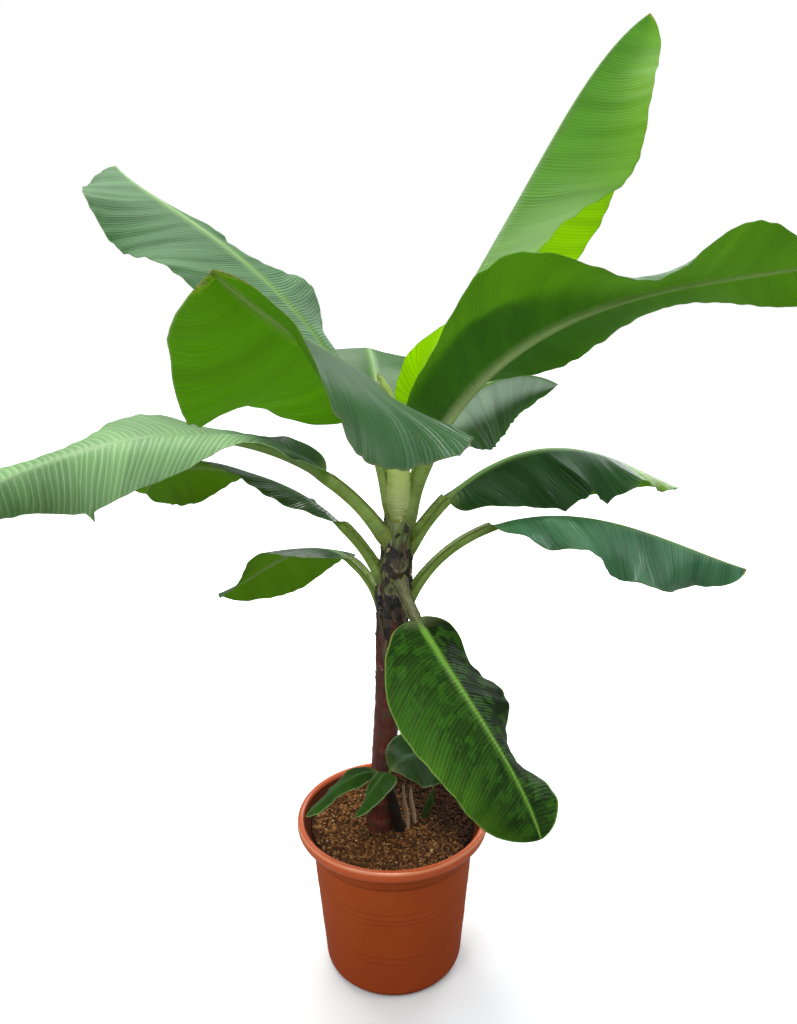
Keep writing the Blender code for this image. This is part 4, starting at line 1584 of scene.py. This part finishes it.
@dataclass
class Soil:
    """The pot's filling, with a crumbly top."""

    pot: Pot
    top: float = SOIL_TOP
    bottom: float = 0.0038
    gap: float = 0.0004
    rows: int = 90
    columns: int = 220
    stems: tuple[Stem, ...] = (TRUNK, SUCKER)
    finish: EarthFinish = EarthFinish("potting_mix", (0.020, 0.009, 0.004), (0.105, 0.048, 0.020))

    def level(self, across: Array, back: Array) -> Array:
        """The rolling top of the soil.

        Args:
            across: Places to the right.
            back: Places to the back.

        Returns:
            Its height there.
        """
        rolls = 0.0011 * waver(across, 0.045, 0.7) + 0.0011 * waver(back, 0.037, 0.2)
        crumbs = 0.0012 * waver(across + 0.6 * back, 0.013, 0.5) * waver(back - 0.4 * across, 0.015, 0.8)
        foot = self.stems[0].foot
        mound = 0.0025 * np.exp(-((across - foot[0]) ** 2 + (back - foot[1]) ** 2) / 0.003)
        return self.top + rolls + crumbs + mound - 0.001

    def edge(self, height: float) -> float:
        """How wide the soil is inside the pot.

        Args:
            height: A height above the floor.

        Returns:
            Its radius there.
        """
        pot = self.pot
        flare = np.clip((height - pot.height + pot.rim_depth + pot.flare_depth) / pot.flare_depth, 0, 1) * pot.flare
        return float(pot.body(height) - pot.wall - self.gap + flare)

    def build(self) -> Thing:
        """Makes the filling as one closed skin.

        Returns:
            The filling.
        """
        turns = np.linspace(WHOLE_TURN, 0, self.columns, endpoint=False)
        top = circle(np.linspace(0.002, self.edge(self.top - 0.003), self.rows)[:, None], turns)
        top[..., 2] = self.level(top[..., 0], top[..., 1])
        shoulder, low = self.top - 0.012, self.pot.rounding
        below = ((shoulder, self.edge(shoulder)), (low, self.edge(low)), (self.bottom, self.edge(low) - low + 0.004))
        rings = [circle(radius, turns, height)[None] for height, radius in below]
        return ring_object("soil_surface", np.concatenate([top, *rings]), self.finish)

    @staticmethod
    def ball() -> tuple[Array, Array]:
        """Makes an icosahedron.

        Returns:
            Its corners and its faces.
        """
        golden = (1 + math.sqrt(5)) / 2
        ball = np.array([(0, a, b * golden) for a in (-1, 1) for b in (-1, 1)])
        ball = np.vstack([ball, ball[:, [2, 0, 1]], ball[:, [1, 2, 0]]]) / math.hypot(1, golden)
        longest = 1.06  # a little over the length of a side
        near = np.linalg.norm(ball[:, None] - ball, axis=2) < longest
        faces = [face for face in combinations(range(len(ball)), 3) if near[np.ix_(face, face)].all()]
        return ball, np.array([(a, b, c) if np.linalg.det(ball[[a, b, c]]) > 0 else (a, c, b) for a, b, c in faces])

    def crumbs(self, grit: Grit, seed: int) -> Thing:
        """Scatters one kind of bit over the top, half sunk.

        Args:
            grit: The kind of bit.
            seed: Starts its own order of chance.

        Returns:
            All its bits as one piece.
        """
        rng = np.random.default_rng(seed)
        bound = self.edge(self.top - 0.003) - 0.003
        spot = rng.uniform(-bound, bound, (grit.count * 2, 2))
        free = np.hypot(*spot.T) < bound
        for stem in self.stems:
            free &= np.hypot(*(spot - stem.foot).T) > stem.girth[0][1] + 0.001
        spot = spot[free][: grit.count]
        count = len(spot)
        ball, faces = self.ball()
        shape = ball[None] * rng.uniform(0.72, 1.15, (count, len(ball), 1))
        size = rng.uniform(*grit.size, (count, 1)) / 2
        shape = shape * np.stack([size * rng.uniform(1, grit.slender, (count, 1)), size * 0.9, size * 0.6], -1)
        spin, tip = rng.uniform(0, WHOLE_TURN, (count, 1)), rng.normal(0, 0.45, (count, 1))
        across, back, high = shape[..., 0], shape[..., 1], shape[..., 2]
        flat = across * np.cos(tip) - high * np.sin(tip)
        high = high * np.cos(tip) + across * np.sin(tip) + self.level(*spot.T)[:, None] + 0.25 * size
        across, back = flat * np.cos(spin) - back * np.sin(spin), flat * np.sin(spin) + back * np.cos(spin)
        points = np.stack([across + spot[:, :1], back + spot[:, 1:], high], -1)
        numbers = (faces[None] + len(ball) * np.arange(count)[:, None, None]).reshape(-1, 3)
        return face_object(grit.name, points, numbers.tolist(), grit.finish)

    def dress(self) -> None:
        """Builds the soil and its bits, and hands them over."""
        show(self.build(), "potting_soil", "soil")
        for number, grit in enumerate(GRITS):
            show(self.crumbs(grit, 40 + number), "potting_soil")


@dataclass
class SmallStalk:
    """A short stalk that stands in the soil, ribbed and a little bent, with a ragged or a pointed top."""

    node: str
    slot: str
    foot: Pair
    top: Place
    radii: tuple[float, ...]
    finish: StrawFinish
    ragged: float = 0.0
    flat: float = 1.0
    sunk: float = 0.006
    rows: int = 46
    columns: int = 28

    def build(self) -> Thing:
        """Makes the stalk's skin.

        Returns:
            The stalk.
        """
        share = np.linspace(0, 1, self.rows)
        foot = np.array([*self.foot, SOIL_TOP - self.sunk])
        middle = foot + (np.array(self.top) - foot) * share[:, None]
        middle[:, 0] += 0.0016 * np.sin(WHOLE_TURN * share) * self.ragged
        radius = np.interp(share, np.linspace(0, 1, len(self.radii)), self.radii)[:, None]
        turns = np.linspace(0, WHOLE_TURN, self.columns, endpoint=False)
        ribs = 1 + 0.10 * np.sin(5 * turns + 2) + 0.05 * np.sin(9 * turns)
        rings = circle(radius * ribs, turns) * (1, self.flat, 1) + middle[:, None]
        rings[..., 2] += self.ragged * 0.006 * np.sin(3 * turns + 1) * smooth(share, 0.8, 1)[:, None]
        obj = ring_object(self.node + "_skin", rings, self.finish)
        paint(obj, "place", turns * 0.006, rings[..., 2], 0.3 * np.cos(turns))
        return obj

    def dress(self) -> None:
        """Builds the stalk and hands it over in place of its solid."""
        show(self.build(), self.slot, self.node)


SCRAPS = (
    Scraps(
        "black_scraps", TRUNK, 80, (0.735, 0.925), (0.004, 0.013), (0.008, 0.030), (0.0010, 0.0024),
        StrawFinish("scrap_black", (0.006, 0.005, 0.004), (0.050, 0.036, 0.024)), 71,
    ),
    Scraps(
        "brown_scraps", TRUNK, 44, (0.600, 0.870), (0.003, 0.010), (0.010, 0.040), (0.0008, 0.0020),
        StrawFinish("scrap_brown", (0.045, 0.024, 0.012), (0.200, 0.120, 0.060)), 72,
    ),
    Scraps(
        "tan_scraps", TRUNK, 16, (0.640, 0.880), (0.002, 0.007), (0.010, 0.034), (0.0008, 0.0024),
        StrawFinish("scrap_tan", (0.22, 0.15, 0.08), (0.52, 0.42, 0.27)), 73,
    ),
)
SPROUT_SIZES = dict(slot="young_leaf", rows=70, petiole_rows=14, blade_steps=11, thickness=0.0006, root=0.006)
STRAW_RADII = (0.002, 0.0036, 0.0038, 0.0034, 0.0022)
STALKS = (
    SmallStalk(
        "side_shoot", "young_leaf", (0.062, 0.012), (0.081, -0.030, 0.386), (0.0045, 0.0075, 0.0090, 0.0060, 0.0012),
        StrawFinish("shoot_green", (0.016, 0.055, 0.010), (0.060, 0.170, 0.022), 0.5), flat=0.55,
    ),
    SmallStalk(
        "dried_stalk_1", "dried_leaf", (0.031, -0.028), (0.022, -0.030, 0.395), STRAW_RADII,
        StrawFinish("straw_brown", (0.22, 0.13, 0.07), (0.70, 0.52, 0.32)), 1.0, 0.7,
    ),
    SmallStalk(
        "dried_stalk_2", "dried_leaf", (0.044, -0.010), (0.037, -0.012, 0.376), STRAW_RADII,
        StrawFinish("straw_pale", (0.30, 0.19, 0.10), (0.85, 0.68, 0.46)), 1.0, 0.7,
    ),
)


@dataclass
class Studio:
    """The plain floor, the soft light and the camera."""

    eye: Place = (0.017, -1.411, 1.262)
    down: float = 13.05
    lean: float = -0.48
    focal_pixels: float = 790.0
    frame_pixels: float = 1024.0
    sensor: float = 36.0
    floor_radius: float = 60.0
    floor_corners: int = 96

    def camera(self) -> None:
        """Sets the camera at the photograph's place and angle."""
        data = bpy.data.cameras.new("camera")
        data.sensor_width = self.sensor
        data.lens = self.focal_pixels * self.sensor / self.frame_pixels
        data.clip_start = 0.05
        obj = bpy.data.objects.new("camera", data)
        tilt = Matrix.Rotation(math.radians(90 - self.down), 4, "X")
        obj.matrix_world = Matrix.Translation(self.eye) @ tilt @ Matrix.Rotation(math.radians(self.lean), 4, "Z")
        bpy.context.scene.collection.objects.link(obj)
        bpy.context.scene.camera = obj

    @staticmethod
    def lamp(
        name: str,
        place: Place,
        aim: float,
        size: float,
        power: float,
        colour: Colour = (1, 1, 1),
        gloss: bool = False,
    ) -> None:
        """Hangs a square soft lamp.

        Args:
            name: The lamp's name.
            place: Where it hangs.
            aim: The height on the plant's axis that it faces.
            size: Its side.
            power: Its watts.
            colour: Its light's colour.
            gloss: Whether it shows only as a glint on shiny skins.
        """
        data = bpy.data.lights.new(name, "AREA")
        data.size, data.energy, data.color = size, power, colour
        obj = bpy.data.objects.new(name, data)
        obj.location = place
        way = Vector((0, 0, aim)) - obj.location
        obj.rotation_euler = way.to_track_quat("-Z", "Y").to_euler()
        obj.visible_diffuse = obj.visible_transmission = not gloss
        bpy.context.scene.collection.objects.link(obj)

    def sky(self) -> None:
        """A white surround, bright overhead and dim at eye level where it lights the plant."""
        world = bpy.data.worlds.new("surround")
        bpy.context.scene.world = world
        world.use_nodes = True
        graph = Graph(world.node_tree)
        shader = world.node_tree.nodes["Background"]
        height = graph.split(graph.place("Generated"))[2]
        light = graph.mix(height.fade(0.0, 0.95), (0.22, 0.23, 0.24), (1.05, 1.12, 1.16))
        graph.put(graph.mix(graph.seen(), light, (1.0, 1.0, 1.0)), shader.inputs["Color"])
        shader.inputs["Strength"].default_value = 1.0

    def floor(self) -> None:
        """Lays the pale floor, which throws only a little light back up."""
        rim = circle(self.floor_radius, np.linspace(0, WHOLE_TURN, self.floor_corners, endpoint=False))
        obj = face_object("floor", rim, [list(range(len(rim)))])
        graph = MaterialGraph("floor_white")
        place, seen = graph.place(), graph.seen()
        pale = graph.mix(graph.noise(place, 3, 2), (0.93, 0.93, 0.93), (0.95, 0.95, 0.95))
        obj.data.materials.append(graph.close(graph.mix(seen, (0.22, 0.22, 0.21), pale), 1.0, 0.0))
        away = graph.node("ShaderNodeVectorMath", {0: place}, "Value", operation="LENGTH")
        lit = graph.mix(seen * away.fade(0.35, 2.2), (0.0, 0.0, 0.0), (0.7, 0.7, 0.7))
        shader = graph.tree.nodes["Principled BSDF"]
        graph.put(lit, shader.inputs["Emission Color"])
        shader.inputs["Emission Strength"].default_value = 1.0

    def build(self) -> None:
        """Sets up the whole studio."""
        self.camera()
        self.floor()
        self.sky()
        self.lamp("key", (-0.8, 1.4, 3.6), 1.1, 2.4, 150, (1.0, 0.99, 0.96))
        self.lamp("fill", (-2.2, -2.6, 2.8), 0.8, 2.0, 48)
        self.lamp("side", (2.8, -0.8, 2.0), 0.9, 1.6, 12)
        self.lamp("window", (1.7, 2.9, 1.9), 0.9, 1.8, 45, (0.93, 0.97, 1.0))
        self.lamp("glint", (-0.1, -2.5, 2.5), 0.5, 1.5, 70, gloss=True)
        view = bpy.context.scene.view_settings
        view.view_transform = "Standard"
        view.exposure = 0.0


def main() -> None:
    """Builds the plant, piece by piece."""
    logging.basicConfig(level=logging.INFO, format="%(name)s: %(message)s")
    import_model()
    Studio().build()
    pot = Pot()
    pot.dress()
    Soil(pot).dress()
    Pseudostem("stem_skin", "trunk", TRUNK, TRUNK_LEAVES, SheathFinish(), red_top=0.76, charred=0.778).dress()
    for scraps in SCRAPS:
        scraps.dress()
    # All the sucker's sheath colours are near black: painted shade, as the sucker stem stands in deep shadow beside
    # the trunk.
    young = SheathFinish(
        "shadowed_young_sheaths", (0.016, 0.009, 0.006), (0.010, 0.008, 0.006), green=(0.03, 0.06, 0.01),
        pale=(0.02, 0.02, 0.01),
    )
    Pseudostem(
        "sucker_skin", "sucker", SUCKER, SUCKER_LEAVES, young, red_top=0.33, drop=0.08, step=0.0006, rows=90,
        columns=48,
    ).dress()
    for number, frond in enumerate(TRUNK_LEAVES):
        BananaLeaf(frond, TRUNK, number + 1).dress()
    for number, frond in enumerate(SUCKER_LEAVES):
        BananaLeaf(frond, SUCKER, number + 21, **SPROUT_SIZES).dress()
    for stalk in STALKS:
        stalk.dress()


if __name__ == "__main__":
    main()
